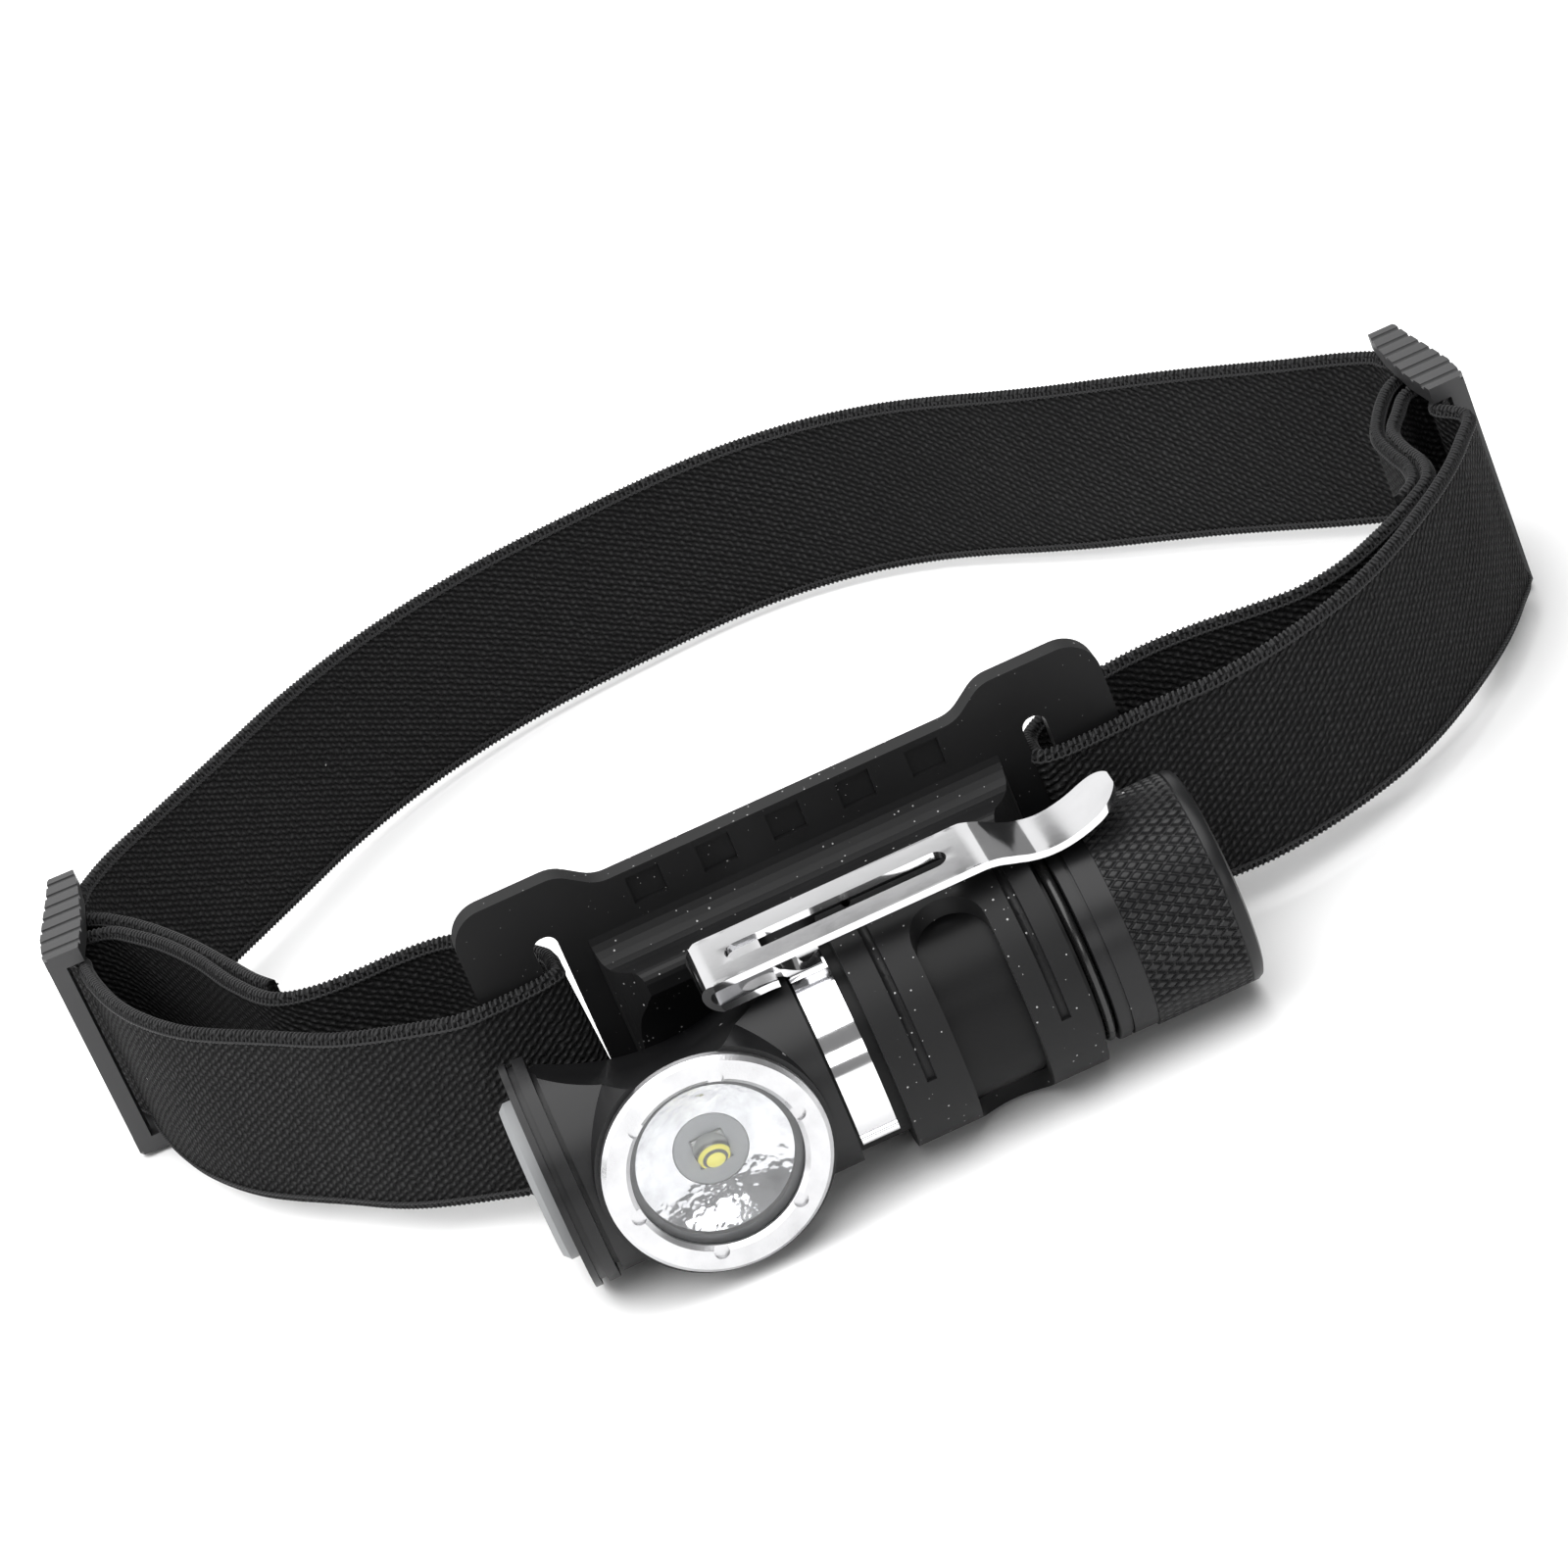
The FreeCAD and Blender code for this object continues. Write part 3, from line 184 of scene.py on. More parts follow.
def makeWeaveGroup():
    group, source, target = addGroup(
        "elasticWeave",
        [("Along", "NodeSocketFloat", 0.0), ("Across", "NodeSocketFloat", 0.0),
         ("Rib pitch", "NodeSocketFloat", 0.00095), ("Grain pitch", "NodeSocketFloat", 0.0011),
         ("Slant", "NodeSocketFloat", 0.62), ("Wobble", "NodeSocketFloat", 1.1)],
        [("Height", "NodeSocketFloat"), ("Painted shade", "NodeSocketFloat")])
    along, across = source.outputs["Along"], source.outputs["Across"]
    place = group.nodes.new("ShaderNodeCombineXYZ")
    group.links.new(along, place.inputs[0])
    group.links.new(across, place.inputs[1])
    drift = noiseNode(group, place.outputs[0], weave["driftPerMetre"], 2.0)
    shake = mathNode(group, "MULTIPLY", mathNode(group, "SUBTRACT", drift, 0.5),
                     source.outputs["Wobble"])
    skew = mathNode(group, "MULTIPLY", along, source.outputs["Slant"])
    ribPlace = mathNode(group, "DIVIDE", mathNode(group, "ADD", across, skew),
                        source.outputs["Rib pitch"])
    ribTurn = mathNode(group, "MULTIPLY", mathNode(group, "ADD", ribPlace, shake), fullTurn)
    rib = mathNode(group, "MULTIPLY_ADD", mathNode(group, "SINE", ribTurn), 0.5)
    rib.node.inputs[2].default_value = 0.5
    row = mathNode(group, "FLOOR", mathNode(group, "ADD", ribPlace, shake))
    offset = mathNode(group, "MULTIPLY", row, weave["rowShift"])
    slid = mathNode(group, "MULTIPLY", across, weave["grainSlant"])
    grainPlace = mathNode(group, "DIVIDE", mathNode(group, "SUBTRACT", along, slid),
                          source.outputs["Grain pitch"])
    grainTurn = mathNode(group, "ADD", mathNode(group, "MULTIPLY", grainPlace, fullTurn), offset)
    grain = mathNode(group, "MULTIPLY_ADD", mathNode(group, "SINE", grainTurn), 0.5)
    grain.node.inputs[2].default_value = 0.5
    both = mathNode(group, "MULTIPLY", mathNode(group, "POWER", rib, weave["ribFlat"]),
                    rampNode(group, grain, 0.0, 1.0, weave["grainLow"], 1.0))
    fuzz = noiseNode(group, place.outputs[0], weave["fuzzPerMetre"], 2.0)
    height = mathNode(group, "ADD", both, mathNode(group, "MULTIPLY", fuzz, weave["fuzz"]))
    group.links.new(height, target.inputs["Height"])
    # painted shade: the knit's height also sets its colour, so the valleys get dark and the crests
    # light
    gain = mathNode(group, "MULTIPLY", height, weave["shadeGain"], True)
    group.links.new(mathNode(group, "POWER", gain, weave["shadeCurve"]), target.inputs["Painted shade"])
    return group


grainGroup, dustGroup, weaveGroup = makeGrainGroup(), makeDustGroup(), makeWeaveGroup()
print("shared node groups made")


def newMaterial(name):
    material = bpy.data.materials.new(name)
    material.use_nodes = True
    tree = material.node_tree
    shader = tree.nodes["Principled BSDF"]
    return material, tree, shader


def useGroup(tree, group, **values):
    node = tree.nodes.new("ShaderNodeGroup")
    node.node_tree = group
    for label, value in values.items():
        node.inputs[label.replace("_", " ")].default_value = value
    return node


def objectPlace(tree):
    return tree.nodes.new("ShaderNodeTexCoord").outputs["Object"]


def mixColour(tree, mask, low, high):
    node = tree.nodes.new("ShaderNodeMix")
    node.data_type = "RGBA"
    for socket, item in ((node.inputs["A"], low), (node.inputs["B"], high)):
        if isinstance(item, tuple):
            socket.default_value = (*item, 1.0)
        else:
            tree.links.new(item, socket)
    if isinstance(mask, (int, float)):
        node.inputs["Factor"].default_value = mask
    else:
        tree.links.new(mask, node.inputs["Factor"])
    return node.outputs["Result"]


def addBump(tree, shader, height, strength, distance):
    bump = tree.nodes.new("ShaderNodeBump")
    bump.inputs["Strength"].default_value = strength
    bump.inputs["Distance"].default_value = distance
    tree.links.new(height, bump.inputs["Height"])
    tree.links.new(bump.outputs["Normal"], shader.inputs["Normal"])
    return bump


# a plain finish: two close tones, roughness that drifts, grain bump, and lint where it clings
def makeFinish(name, tones, rough, metallic=0.0, grain=4000.0, bump=0.1, depth=0.00002,
               cloud=60.0, dust=0.0, dustColour=(0.4, 0.4, 0.4), speckSize=0.1,
               specksPerMetre=700.0, **extras):
    material, tree, shader = newMaterial(name)
    place = objectPlace(tree)
    group = useGroup(tree, grainGroup, Grain_per_metre=grain, Cloud_per_metre=cloud)
    tree.links.new(place, group.inputs["Vector"])
    colour = mixColour(tree, group.outputs["Cloud"], tones[0], tones[1])
    if dust > 0:
        specks = useGroup(tree, dustGroup, Specks_per_metre=specksPerMetre, Share=dust,
                          Size=speckSize)
        tree.links.new(place, specks.inputs["Vector"])
        colour = mixColour(tree, specks.outputs["Mask"], colour, dustColour)
    tree.links.new(colour, shader.inputs["Base Color"])
    tree.links.new(rampNode(tree, group.outputs["Cloud"], 0.0, 1.0, rough[0], rough[1]),
                   shader.inputs["Roughness"])
    shader.inputs["Metallic"].default_value = metallic
    for label, value in extras.items():
        shader.inputs[label.replace("_", " ")].default_value = value
    addBump(tree, shader, group.outputs["Height"], bump, depth)
    return material


finishes = {
    "anodised": makeFinish("blackAnodised", ((0.004, 0.004, 0.0045), (0.0075, 0.0075, 0.008)),
                           (0.32, 0.42), grain=9000.0, bump=0.22, depth=0.00003, dust=0.06,
                           speckSize=0.16, specksPerMetre=620.0, Specular_IOR_Level=0.3),
    "tube": makeFinish("blackTube", ((0.002, 0.002, 0.0022), (0.004, 0.004, 0.0043)),
                       (0.34, 0.44), grain=9000.0, bump=0.2, depth=0.00003, dust=0.08,
                       speckSize=0.16, specksPerMetre=620.0, Specular_IOR_Level=0.16),
    "silicone": makeFinish("holderSilicone", ((0.004, 0.004, 0.0043), (0.007, 0.007, 0.0074)),
                           (0.46, 0.58), grain=5200.0, bump=0.2, dust=0.26, speckSize=0.19,
                           specksPerMetre=1700.0, dustColour=(0.34, 0.34, 0.34),
                           Specular_IOR_Level=0.22, Sheen_Weight=0.02, Sheen_Roughness=0.4),
    "button": makeFinish("buttonSilicone", ((0.20, 0.205, 0.21), (0.25, 0.255, 0.26)),
                         (0.5, 0.6), grain=5200.0, bump=0.1),
    "buckle": makeFinish("buckleNylon", ((0.020, 0.020, 0.021), (0.034, 0.034, 0.035)),
                         (0.34, 0.48), grain=3600.0, bump=0.2),
    "bezel": makeFinish("satinBezel", ((0.50, 0.50, 0.51), (0.64, 0.64, 0.65)), (0.26, 0.38),
                        metallic=1.0, grain=3600.0, bump=0.5, depth=0.00005, cloud=220.0),
    "chrome": makeFinish("polishedClip", ((0.66, 0.66, 0.67), (0.74, 0.74, 0.75)), (0.05, 0.10),
                         metallic=1.0, grain=900.0, bump=0.03, cloud=140.0),
    "mirror": makeFinish("platedReflector", ((0.50, 0.50, 0.51), (0.66, 0.66, 0.67)),
                         (0.06, 0.16), metallic=1.0, grain=520.0, bump=0.6, depth=0.0003,
                         cloud=300.0),
    "gasket": makeFinish("gasketRubber", ((0.07, 0.072, 0.075), (0.09, 0.092, 0.095)),
                         (0.55, 0.65)),
    "oring": makeFinish("greasedRubber", ((0.008, 0.008, 0.008), (0.014, 0.014, 0.014)),
                        (0.22, 0.32)),
    "board": makeFinish("greenLaminate", ((0.012, 0.08, 0.03), (0.018, 0.11, 0.04)),
                        (0.3, 0.4)),
    "ledBoard": makeFinish("whiteMask", ((0.72, 0.72, 0.70), (0.80, 0.80, 0.78)), (0.4, 0.5)),
    "centring": makeFinish("whiteNylon", ((0.42, 0.43, 0.44), (0.50, 0.51, 0.52)),
                           (0.45, 0.55)),
    "steel": makeFinish("platedSteel", ((0.55, 0.55, 0.56), (0.66, 0.66, 0.67)), (0.2, 0.34),
                        metallic=1.0),
    "gold": makeFinish("goldPlate", ((0.72, 0.5, 0.2), (0.82, 0.6, 0.27)), (0.2, 0.32),
                       metallic=1.0),
    "wrap": makeFinish("cellWrap", ((0.02, 0.07, 0.22), (0.03, 0.09, 0.27)), (0.24, 0.34)),
}


def makeGlass():
    material, tree, shader = newMaterial("coatedGlass")
    place = objectPlace(tree)
    smear = noiseNode(tree, place, 260.0, 3.0)
    tree.links.new(rampNode(tree, smear, 0.35, 0.75, 0.0, 0.035), shader.inputs["Roughness"])
    tint = mixColour(tree, smear, (0.97, 0.985, 1.0), (1.0, 1.0, 1.0))
    tree.links.new(tint, shader.inputs["Base Color"])
    shader.inputs["Transmission Weight"].default_value = 1.0
    shader.inputs["IOR"].default_value = 1.46
    addBump(tree, shader, smear, 0.01, 0.00001)
    return material


# the emitter: yellow phosphor seen twice through its dome, on a pale ceramic tile, with a painted
# glow on the yellow
emitter = {"disc": (1.05, 1.15), "ringIn": (1.42, 1.5), "ringOut": (1.85, 1.95),
           "tile": (2.1, 2.3), "phosphor": (0.78, 0.72, 0.14), "paintedGlow": (0.9, 0.84, 0.22),
           "ceramic": (0.55, 0.56, 0.54), "shade": (0.16, 0.16, 0.15)}


def makeEmitter():
    material, tree, shader = newMaterial("emitterTile")
    place = objectPlace(tree)
    centre = lightSpot(light["lensX"], 0, 0)
    apart = tree.nodes.new("ShaderNodeVectorMath")
    apart.operation = "SUBTRACT"
    apart.inputs[1].default_value = centre
    tree.links.new(place, apart.inputs[0])
    flat = tree.nodes.new("ShaderNodeVectorMath")
    flat.operation = "MULTIPLY"
    flat.inputs[1].default_value = (1, 0, 1)
    tree.links.new(apart.outputs[0], flat.inputs[0])
    away = tree.nodes.new("ShaderNodeVectorMath")
    away.operation = "LENGTH"
    tree.links.new(flat.outputs[0], away.inputs[0])
    def edgeAt(name, inner, outer):
        low, high = emitter[name]
        return rampNode(tree, away.outputs["Value"], low * mm, high * mm, inner, outer)

    ring = mathNode(tree, "MULTIPLY", edgeAt("ringIn", 0.0, 1.0), edgeAt("ringOut", 1.0, 0.0))
    yellow = mathNode(tree, "MAXIMUM", edgeAt("disc", 1.0, 0.0), ring)
    plain = mixColour(tree, edgeAt("tile", 0.0, 1.0), emitter["shade"], emitter["ceramic"])
    colour = mixColour(tree, yellow, plain, emitter["phosphor"])
    tree.links.new(colour, shader.inputs["Base Color"])
    # painted glow: the yellow phosphor emits a little light, though the emitter is no lamp
    paintedGlow = mixColour(tree, yellow, (0.0, 0.0, 0.0), emitter["paintedGlow"])
    tree.links.new(paintedGlow, shader.inputs["Emission Color"])
    shader.inputs["Emission Strength"].default_value = 0.25
    grain = noiseNode(tree, place, 6000.0, 2.0)
    tree.links.new(rampNode(tree, grain, 0.0, 1.0, 0.12, 0.3), shader.inputs["Roughness"])
    addBump(tree, shader, grain, 0.05, 0.00001)
    return material


# shadedValley and crest are the two ends of the painted shade laid on the knit by its height
webbing = {"shadedValley": (0.0005, 0.0005, 0.0006), "crest": (0.055, 0.055, 0.056),
           "worn": (0.008, 0.008, 0.0085), "lint": (0.4, 0.4, 0.4), "bump": 0.0009}


def makeWebbing():
    material, tree, shader = newMaterial("elasticWebbing")
    uv = tree.nodes.new("ShaderNodeUVMap")
    uv.uv_map = "bandMap"
    parts = tree.nodes.new("ShaderNodeSeparateXYZ")
    tree.links.new(uv.outputs[0], parts.inputs[0])
    knit = useGroup(tree, weaveGroup)
    tree.links.new(parts.outputs[0], knit.inputs["Along"])
    tree.links.new(parts.outputs[1], knit.inputs["Across"])
    place = objectPlace(tree)
    cloud = useGroup(tree, grainGroup, Grain_per_metre=9000.0, Cloud_per_metre=45.0)
    tree.links.new(place, cloud.inputs["Vector"])
    # painted shade from the knit's height: dark in the valleys, lit on the crests
    tone = mixColour(tree, knit.outputs["Painted shade"], webbing["shadedValley"], webbing["crest"])
    shade = mixColour(tree, mathNode(tree, "MULTIPLY", cloud.outputs["Cloud"], 0.3), tone,
                      webbing["worn"])
    lint = useGroup(tree, dustGroup, Specks_per_metre=330.0, Share=0.035, Size=0.07)
    tree.links.new(place, lint.inputs["Vector"])
    colour = mixColour(tree, lint.outputs["Mask"], shade, webbing["lint"])
    tree.links.new(colour, shader.inputs["Base Color"])
    tree.links.new(rampNode(tree, cloud.outputs["Cloud"], 0.0, 1.0, 0.78, 0.9),
                   shader.inputs["Roughness"])
    shader.inputs["Sheen Weight"].default_value = 0.01
    shader.inputs["Sheen Roughness"].default_value = 0.4
    shader.inputs["Specular IOR Level"].default_value = 0.1
    addBump(tree, shader, knit.outputs["Height"], 1.0, webbing["bump"])
    return material


def makeThread():
    material, tree, shader = newMaterial("edgeThread")
    place = objectPlace(tree)
    twist = noiseNode(tree, place, 3800.0, 3.0)
    colour = mixColour(tree, twist, (0.006, 0.006, 0.0065), (0.020, 0.020, 0.021))
    tree.links.new(colour, shader.inputs["Base Color"])
    tree.links.new(rampNode(tree, twist, 0.0, 1.0, 0.62, 0.82), shader.inputs["Roughness"])
    shader.inputs["Sheen Weight"].default_value = 0.08
    shader.inputs["Sheen Roughness"].default_value = 0.4
    shader.inputs["Specular IOR Level"].default_value = 0.35
    addBump(tree, shader, twist, 0.5, 0.0001)
    return material


finishes["glass"] = makeGlass()
finishes["emitter"] = makeEmitter()
finishes["webbing"] = makeWebbing()
finishes["thread"] = makeThread()
print("finishes made:", len(finishes))

nodeFinish = {
    "silicone_holder": "silicone", "buckle_left": "buckle", "buckle_right": "buckle",
    "switch_retaining_ring": "anodised", "switch_button": "button", "switch_board": "board",
    "tactile_switch": "steel", "head_housing": "anodised", "bezel_ring": "bezel",
    "lens_gasket": "gasket", "glass_lens": "glass", "reflector": "mirror",
    "led_board": "ledBoard", "led_emitter": "emitter", "centring_gasket": "centring",
    "body_tube": "tube", "driver_board": "board", "driver_spring": "gold",
    "tail_oring": "oring", "battery_cell": "wrap", "cell_positive_cap": "steel",
    "tail_magnet": "steel", "tail_contact_disc": "gold", "tail_spring": "gold",
    "pocket_clip": "chrome",
}
# how far each visible metal or moulded piece has its edges eased, in mm
easedEdges = {"silicone_holder": 0.5, "buckle_left": 0.3, "buckle_right": 0.3,
              "switch_retaining_ring": 0.12, "switch_button": 0.25, "head_housing": 0.22,
              "bezel_ring": 0.12, "body_tube": 0.08, "pocket_clip": 0.18}
sharpTurn = math.radians(38)
for name, finish in nodeFinish.items():
    node = nodes[name]
    node.data.materials.clear()
    node.data.materials.append(finishes[finish])
    if name in easedEdges:
        ease = node.modifiers.new("easedEdges", "BEVEL")
        ease.width = easedEdges[name] * mm
        ease.segments = 2
        ease.limit_method = "ANGLE"
        ease.angle_limit = sharpTurn
        ease.harden_normals = True
print("CAD nodes finished")


def makePiece(name, points, faces, finish, body, smooth=True):
    mesh = bpy.data.meshes.new(name)
    mesh.from_pydata(points, [], faces)
    mesh.materials.append(finishes[finish])
    if smooth:
        mesh.polygons.foreach_set("use_smooth", [True] * len(mesh.polygons))
    mesh.update()
    piece = bpy.data.objects.new(name, mesh)
    bpy.context.scene.collection.objects.link(piece)
    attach(piece, body)
    return piece


# ---- knurled tail cap: turned profile, with cut diamonds on the grip band
cap = {"from": 64.6, "to": 82.4, "band": 12.6, "crest": 12.87, "bore": 10.9, "boreTo": 77.9,
       "floorTo": 80.1, "pocket": 7.05, "grip": (69.35, 80.6), "groove": (66.0, 66.4),
       "diamondsRound": 62, "diamondRows": 5, "cut": 0.36, "perDiamond": 10,
       "cutNarrow": 2.4, "edge": 0.15, "grooveDeep": 0.35, "rimRound": 0.85, "creaseTurn": 28}


def knurlDrop(turn, along):
    # distance below the crests: two sets of crossing V cuts
    a = turn * cap["diamondsRound"] + along * cap["diamondRows"]
    b = turn * cap["diamondsRound"] - along * cap["diamondRows"]
    nearA = abs(a - round(a)) * 2
    nearB = abs(b - round(b)) * 2
    return cap["cut"] * (1 - min(1.0, min(nearA, nearB) * cap["cutNarrow"]))


def makeTailCap():
    around = cap["diamondsRound"] * cap["perDiamond"]
    low, high = cap["grip"]
    start, end = cap["from"], cap["to"]
    edge, rim, crest = cap["edge"], cap["rimRound"], cap["crest"]
    grooveFrom, grooveTo = cap["groove"]
    grooveFloor = cap["band"] - cap["grooveDeep"]
    plain = [(start, cap["bore"]), (start, cap["band"] - edge), (start + edge, cap["band"]),
             (grooveFrom, cap["band"]), (grooveFrom, grooveFloor), (grooveTo, grooveFloor),
             (grooveTo, cap["band"]), (low - 0.35, cap["band"]), (low - 0.05, crest - 0.25)]
    rows = cap["diamondRows"] * cap["perDiamond"]
    grip = [(low + (high - low) * i / rows, None) for i in range(rows + 1)]
    tail = [(high + 0.12, crest - 0.1), (high + 0.3, crest), (end - rim, crest),
            (end - 0.25, crest - 0.3), (end, crest - rim), (end, 6.0), (end, 0.001)]
    inside = [(cap["floorTo"], 0.001), (cap["floorTo"], cap["pocket"]),
              (cap["boreTo"], cap["pocket"]), (cap["boreTo"], cap["bore"]),
              (start, cap["bore"])]
    profile = plain + grip + tail + inside
    points, faces = [], []
    for x, radius in profile:
        for k in range(around):
            turn = k / around
            r = radius
            if r is None:
                r = crest - knurlDrop(turn, (x - low) / (high - low))
            a = turn * fullTurn
            points.append(lightSpot(x, -r * math.cos(a), r * math.sin(a)))
    count = len(profile)
    for i in range(count - 1):
        for k in range(around):
            n = (k + 1) % around
            faces.append((i * around + k, (i + 1) * around + k, (i + 1) * around + n,
                          i * around + n))
    piece = makePiece("knurledTailCap", points, faces, "anodised", "tail")
    bpy.context.view_layer.objects.active = piece
    piece.data.set_sharp_from_angle(angle=math.radians(cap["creaseTurn"]))
    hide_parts("tail_cap")


makeTailCap()
print("tail cap knurled")

# ---- the band: plan route of the webbing's middle line, from one sewn end to the other
band = {"wide": 25.0, "thick": 1.45, "height": 2.8, "tilt": 1.65, "tiltY": 16.0, "step": 0.5,
        "acrossParts": 16, "edgeFlat": 0.5, "edgeOut": 0.3, "skin": 0.08}
buckles = {"left": {"at": (-43.1, 85.0), "turn": -4.0, "out": -1},
           "right": {"at": (137.4, 70.0), "turn": 0.0, "out": 1}}


def fromBuckle(side, points):
    buckle = buckles[side]
    turn = math.radians(buckle["turn"])
    made = []
    for u, w in points:
        x, y = w * buckle["out"], u
        made.append((buckle["at"][0] + x * math.cos(turn) - y * math.sin(turn),
                     buckle["at"][1] + x * math.sin(turn) + y * math.cos(turn)))
    return made


def bandRoute():
    wrap, over, loopHalf, barEdge, frontY, backY = 1.45, 3.2, 2.65, 10.9, 14.65, 19.0
    leftSlot, rightSlot = 10.75, 70.75
    barLoop = [(-loopHalf - 0.5, -2.6), (-loopHalf, -0.2), (-1.3, wrap), (1.3, wrap),
               (loopHalf, 0.1), (loopHalf - 0.2, -1.5)]
    slide = [(-barEdge - 0.6, -1.1), (1.4 - barEdge, -0.9), (-6.0, 0.9), (-2.6, over - 0.25),
             (0, over), (2.6, over - 0.25), (6.0, 0.9), (barEdge - 1.4, -0.9),
             (barEdge + 0.6, -1.3)]
    leftTail = [(-21.2, 45.4), (-23.0, 49.2), (-25.6, 56.5), (-29.3, 66.6)] + fromBuckle(
        "left", [(-8.0, -10.0), (-2.4, -6.4), (1.0, -3.6)])
    leftInner = fromBuckle("left", [(-4.6, -5.2), (-8.6, -8.2), (-13.6, -11.4)]) + [
        (-28.9, 61.4), (-25.3, 50.0), (-21.3, 41.6), (-17.0, 38.8), (-11.3, 37.9),
        (-6.4, 37.8), (-0.4, 36.4), (4.2, 32.4), (7.9, 26.0), (leftSlot - 0.2, backY + 2.6),
        (leftSlot + 0.2, backY - 1.0), (leftSlot, frontY + 0.9), (leftSlot - 1.9, frontY)]
    leftOuter = [(5.4, frontY - 0.2), (2.6, frontY - 0.2), (-1.4, frontY + 0.15), (-6.2, 17.4),
                 (-15.6, 24.0), (-23.3, 32.5), (-32.4, 43.3), (-37.4, 52.5), (-40.2, 60.3),
                 (-42.0, 68.0)]
    rear = [(-36.6, 103.0), (-28.0, 111.2), (-18.5, 120.2), (-9.0, 129.2), (1.0, 136.4),
            (10.0, 141), (20.0, 144.5), (29.0, 146.3), (38.0, 147.3), (47.0, 148),
            (56.0, 147.8), (64.0, 146.2), (72.0, 143), (80.0, 137.8), (87.0, 131.4),
            (93.5, 124.4), (100.0, 117.8), (107.0, 111.4), (113.5, 105.4), (120.0, 98.8),
            (126.5, 92.0), (132.6, 86.0)]
    rightOuter = [(138.2, 53.4), (135.2, 47.4), (130.7, 40.6), (124.0, 32.8), (116.0, 25.2),
                  (110.0, 20.9), (104.0, 18.0), (98.0, 15.9), (91.0, 14.6),
                  (84.6, frontY + 0.2), (78.0, frontY - 0.2), (75.4, frontY - 0.2)]
    rightInner = [(rightSlot + 1.9, frontY), (rightSlot, frontY + 0.9),
                  (rightSlot - 0.2, backY - 1.0), (rightSlot + 0.2, backY + 2.4), (73.6, 24.6),
                  (78.0, 27.8), (83.0, 29.3), (89.0, 29.9), (95.0, 29.2), (101.0, 27.7),
                  (107.0, 26.8), (113.0, 28.4), (119.0, 32.2), (124.6, 36.9), (128.4, 41.2),
                  (129.6, 46.0), (129.4, 51.5)] + fromBuckle("right", [(-12.0, -7.6),
                                                                       (-7.6, -5.4)])
    rightTail = fromBuckle("right", [(0.6, -3.7), (-4.4, -6.7), (-11.2, -9.3), (-18.5, -9.65),
                                     (-23.5, -9.5), (-28.2, -10.7), (-31.1, -13.4)])
    return (leftTail + fromBuckle("left", barLoop[::-1]) + leftInner + leftOuter
            + fromBuckle("left", slide) + rear + fromBuckle("right", slide[::-1])
            + rightOuter + rightInner + fromBuckle("right", barLoop) + rightTail)


def smoothRoute(points, step):
    pts = [np.array(p, float) for p in points]
    pts = [pts[0] * 2 - pts[1]] + pts + [pts[-1] * 2 - pts[-2]]
    dense = []
    for p0, p1, p2, p3 in zip(pts, pts[1:], pts[2:], pts[3:]):
        t1 = np.linalg.norm(p1 - p0) ** 0.5
        t2 = t1 + np.linalg.norm(p2 - p1) ** 0.5
        t3 = t2 + np.linalg.norm(p3 - p2) ** 0.5
        for k in range(24):
            t = t1 + (t2 - t1) * k / 24
            a1 = p0 * ((t1 - t) / t1) + p1 * (t / t1)
            a2 = p1 * ((t2 - t) / (t2 - t1)) + p2 * ((t - t1) / (t2 - t1))
            a3 = p2 * ((t3 - t) / (t3 - t2)) + p3 * ((t - t2) / (t3 - t2))
            b1 = a1 * ((t2 - t) / t2) + a2 * (t / t2)
            b2 = a2 * ((t3 - t) / (t3 - t1)) + a3 * ((t - t1) / (t3 - t1))
            dense.append(b1 * ((t2 - t) / (t2 - t1)) + b2 * ((t - t1) / (t2 - t1)))
    dense.append(pts[-2])
    dense = np.array(dense)
    far = np.concatenate(([0], np.cumsum(np.linalg.norm(np.diff(dense, axis=0), axis=1))))
    count = int(round(far[-1] / step))
    want = np.linspace(0, far[-1], count + 1)
    route = np.stack([np.interp(want, far, dense[:, i]) for i in (0, 1)], axis=1)
    return route, want


def bandFrame():
    place = Matrix.Translation(axisPoint + Vector((0, band["tiltY"], band["height"])))
    tilt = Matrix.Rotation(math.radians(-band["tilt"]), 4, "X")
    return place @ tilt @ Matrix.Translation(Vector((0, -band["tiltY"], 0)))


bandPlace = bandFrame()
route, routeFar = smoothRoute(bandRoute(), band["step"])
routeWay = np.gradient(route, axis=0)
routeWay /= np.linalg.norm(routeWay, axis=1)[:, None]
routeSide = np.stack([-routeWay[:, 1], routeWay[:, 0]], axis=1)
print("band length", round(float(routeFar[-1]), 1), "mm")


def bandSpot(p, z):
    return bandPlace @ Vector((p[0], p[1], z)) * mm


# the webbing stands a little askew where it goes through each slot of the holder
askew = {"spots": (((10.75, 17.4), -0.054), ((70.75, 17.4), 0.030)), "reach": 9.0}
askewAt = [(routeFar[np.argmin(np.linalg.norm(route - np.array(spot), axis=1))], amount)
           for spot, amount in askew["spots"]]


def leanAt(far, z):
    return z * sum(amount * math.exp(-((far - home) / askew["reach"]) ** 2)
                   for home, amount in askewAt)


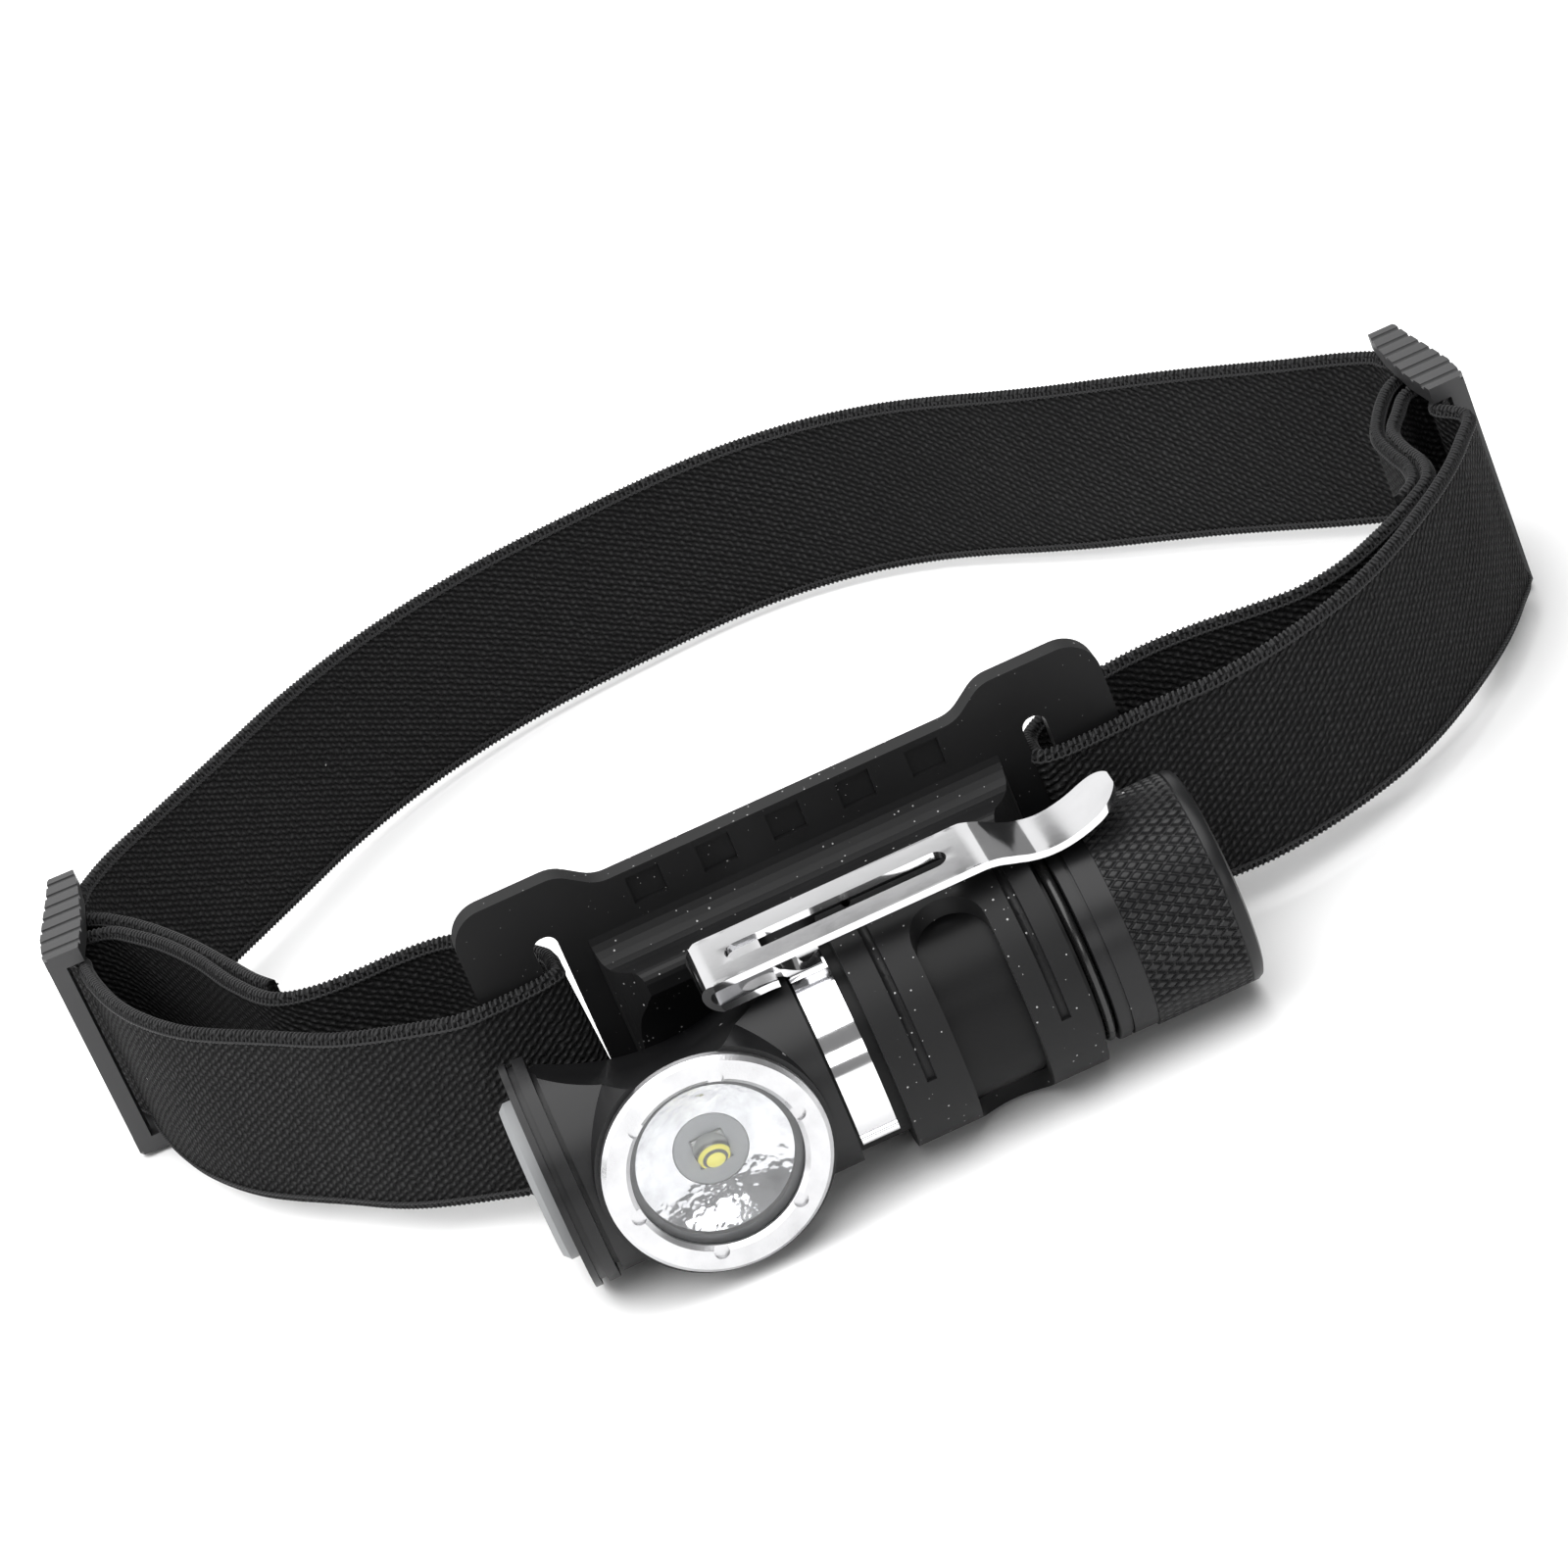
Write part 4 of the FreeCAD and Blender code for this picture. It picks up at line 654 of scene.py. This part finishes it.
# a flat tube along the route: two faces and rolled edges, mapped by length and width
def makeBand():
    half = band["wide"] / 2 - band["edgeFlat"]
    parts = band["acrossParts"]
    levels = [-half + 2 * half * i / parts for i in range(parts + 1)]
    thin = band["thick"] / 2 - band["skin"]
    rolled = half + band["edgeOut"]
    ring = [(z, 1) for z in levels] + [(rolled, 0)]
    ring += [(z, -1) for z in levels[::-1]] + [(-rolled, 0)]
    size = len(ring)
    points = []
    for p, side, far in zip(route, routeSide, routeFar):
        for z, face in ring:
            points.append(bandSpot(p + side * (face * thin + leanAt(far, z)), z))
    faces = []
    for i in range(len(route) - 1):
        for k in range(size):
            n = (k + 1) % size
            faces.append((i * size + k, i * size + n, (i + 1) * size + n, (i + 1) * size + k))
    faces.append(tuple(range(size)))
    faces.append(tuple((len(route) - 1) * size + k for k in range(size))[::-1])
    piece = makePiece("elasticHeadband", points, faces, "webbing", "headband")
    flat = piece.data.uv_layers.new(name="bandMap")
    far, high = [], []
    for loop in piece.data.loops:
        i, k = divmod(loop.vertex_index, size)
        z, face = ring[k]
        far.append(routeFar[i] * mm)
        high.append((z if face >= 0 else z + band["edgeOut"]) * mm)
    coords = np.stack([far, high], axis=1).astype(np.float32).ravel()
    flat.data.foreach_set("uv", coords)
    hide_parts("headband_strap")
    return piece


# overlocked edges: thread loops laid over each edge, and the chain that ties their ends
edging = {"pitch": 0.66, "thread": 0.19, "reach": 1.25, "lean": 0.34, "sides": 4, "parts": 8,
          "off": 0.06, "squareness": 2.5, "chainOff": 0.09, "chainThread": 0.8,
          "chainZigzag": (-0.05, 0.13)}


def routeAt(far):
    spot = np.array([np.interp(far, routeFar, route[:, i]) for i in (0, 1)])
    side = np.array([np.interp(far, routeFar, routeSide[:, i]) for i in (0, 1)])
    side /= np.linalg.norm(side)
    return spot, side, np.array([side[1], -side[0]])


def addTube(points, faces, line, radius, sides):
    start = len(points)
    last = len(line) - 1
    for i, p in enumerate(line):
        way = (line[min(i + 1, last)] - line[max(i - 1, 0)]).normalized()
        first = way.orthogonal() if i == 0 else first - way * first.dot(way)
        first = first.normalized()
        second = way.cross(first)
        for k in range(sides):
            a = fullTurn * k / sides
            points.append(p + (first * math.cos(a) + second * math.sin(a)) * radius)
    for i in range(last):
        for k in range(sides):
            n = (k + 1) % sides
            low, high = start + i * sides, start + (i + 1) * sides
            faces.append((low + k, low + n, high + n, high + k))
    faces.append(tuple(start + k for k in range(sides))[::-1])
    faces.append(tuple(start + last * sides + k for k in range(sides)))


def makeEdging(name, up):
    edge = band["wide"] / 2 * up
    out = band["thick"] / 2 + edging["off"]
    chainOut = band["thick"] / 2 + edging["chainOff"]
    points, faces = [], []
    count = int(routeFar[-1] / edging["pitch"])
    for i in range(1, count):
        spot, side, way = routeAt(i * edging["pitch"])
        spot = spot + side * leanAt(i * edging["pitch"], edge)
        line = []
        for k in range(edging["parts"]):
            share = k / (edging["parts"] - 1)
            angle = math.pi * share
            across = math.cos(angle) * out
            drop = edging["reach"] * abs(math.cos(angle)) ** edging["squareness"] + edging["thread"]
            shift = edging["lean"] * (0.5 - share)
            line.append(bandSpot(spot + side * across + way * shift, edge - up * drop))
        addTube(points, faces, line, edging["thread"] * mm, edging["sides"])
    for face in (1, -1):
        line = []
        for i in range(count * 2):
            spot, side, way = routeAt((i + 0.5) * edging["pitch"] / 2)
            spot = spot + side * leanAt((i + 0.5) * edging["pitch"] / 2, edge)
            drop = edging["reach"] + edging["chainZigzag"][i % 2]
            line.append(bandSpot(spot + side * face * chainOut, edge - up * drop))
        addTube(points, faces, line, edging["thread"] * edging["chainThread"] * mm,
                edging["sides"])
    piece = makePiece(name, points, faces, "thread", "headband")


makeBand()
makeEdging("upperEdgeThread", 1)
makeEdging("lowerEdgeThread", -1)
print("headband woven")


# ---- stage and light
stage = {"size": 6.0, "grainPerMetre": 40.0, "grain": 0.01, "tone": 0.93, "world": 0.3}


def makeStage():
    mesh = bpy.data.meshes.new("paleFloor")
    s = stage["size"]
    mesh.from_pydata([(-s, -s, 0), (s, -s, 0), (s, s, 0), (-s, s, 0)], [], [(0, 1, 2, 3)])
    floor = bpy.data.objects.new("paleFloor", mesh)
    bpy.context.scene.collection.objects.link(floor)
    material, tree, shader = newMaterial("palePaper")
    grain = noiseNode(tree, objectPlace(tree), stage["grainPerMetre"], 3.0)
    low, high = stage["tone"], stage["tone"] + stage["grain"]
    tree.links.new(mixColour(tree, grain, (low, low, low), (high, high, high)),
                   shader.inputs["Base Color"])
    shader.inputs["Roughness"].default_value = 0.9
    mesh.materials.append(material)
    world = bpy.data.worlds.new("studio")
    world.use_nodes = True
    background = world.node_tree.nodes["Background"]
    background.inputs["Color"].default_value = (1, 1, 1, 1)
    background.inputs["Strength"].default_value = stage["world"]
    bpy.context.scene.world = world


lamps = {
    "topSoftbox": {"at": (-0.25, -0.15, 1.15), "to": (0, 0, 0), "size": (2.1, 1.6),
                   "power": 36},
    "leftSoftbox": {"at": (-0.95, -0.30, 0.50), "to": (0, -0.03, 0), "size": (0.35, 0.7),
                    "power": 3},
    "frontFill": {"at": (0.25, -1.05, 0.35), "to": (0, 0, 0), "size": (0.7, 0.25), "power": 2},
    "backSoftbox": {"at": (-0.12, 0.95, 0.52), "to": (-0.05, 0, 0), "size": (1.1, 0.62),
                    "power": 1.9},
}


def makeLamps():
    for name, lamp in lamps.items():
        data = bpy.data.lights.new(name, "AREA")
        data.shape = "RECTANGLE"
        data.size, data.size_y = lamp["size"]
        data.energy = lamp["power"]
        obj = bpy.data.objects.new(name, data)
        obj.location = lamp["at"]
        aim = Vector(lamp["to"]) - Vector(lamp["at"])
        obj.rotation_euler = aim.to_track_quat("-Z", "Y").to_euler()
        obj.visible_camera = False
        bpy.context.scene.collection.objects.link(obj)


makeStage()
makeLamps()
bpy.context.scene.view_settings.view_transform = "Standard"
print("stage lit")
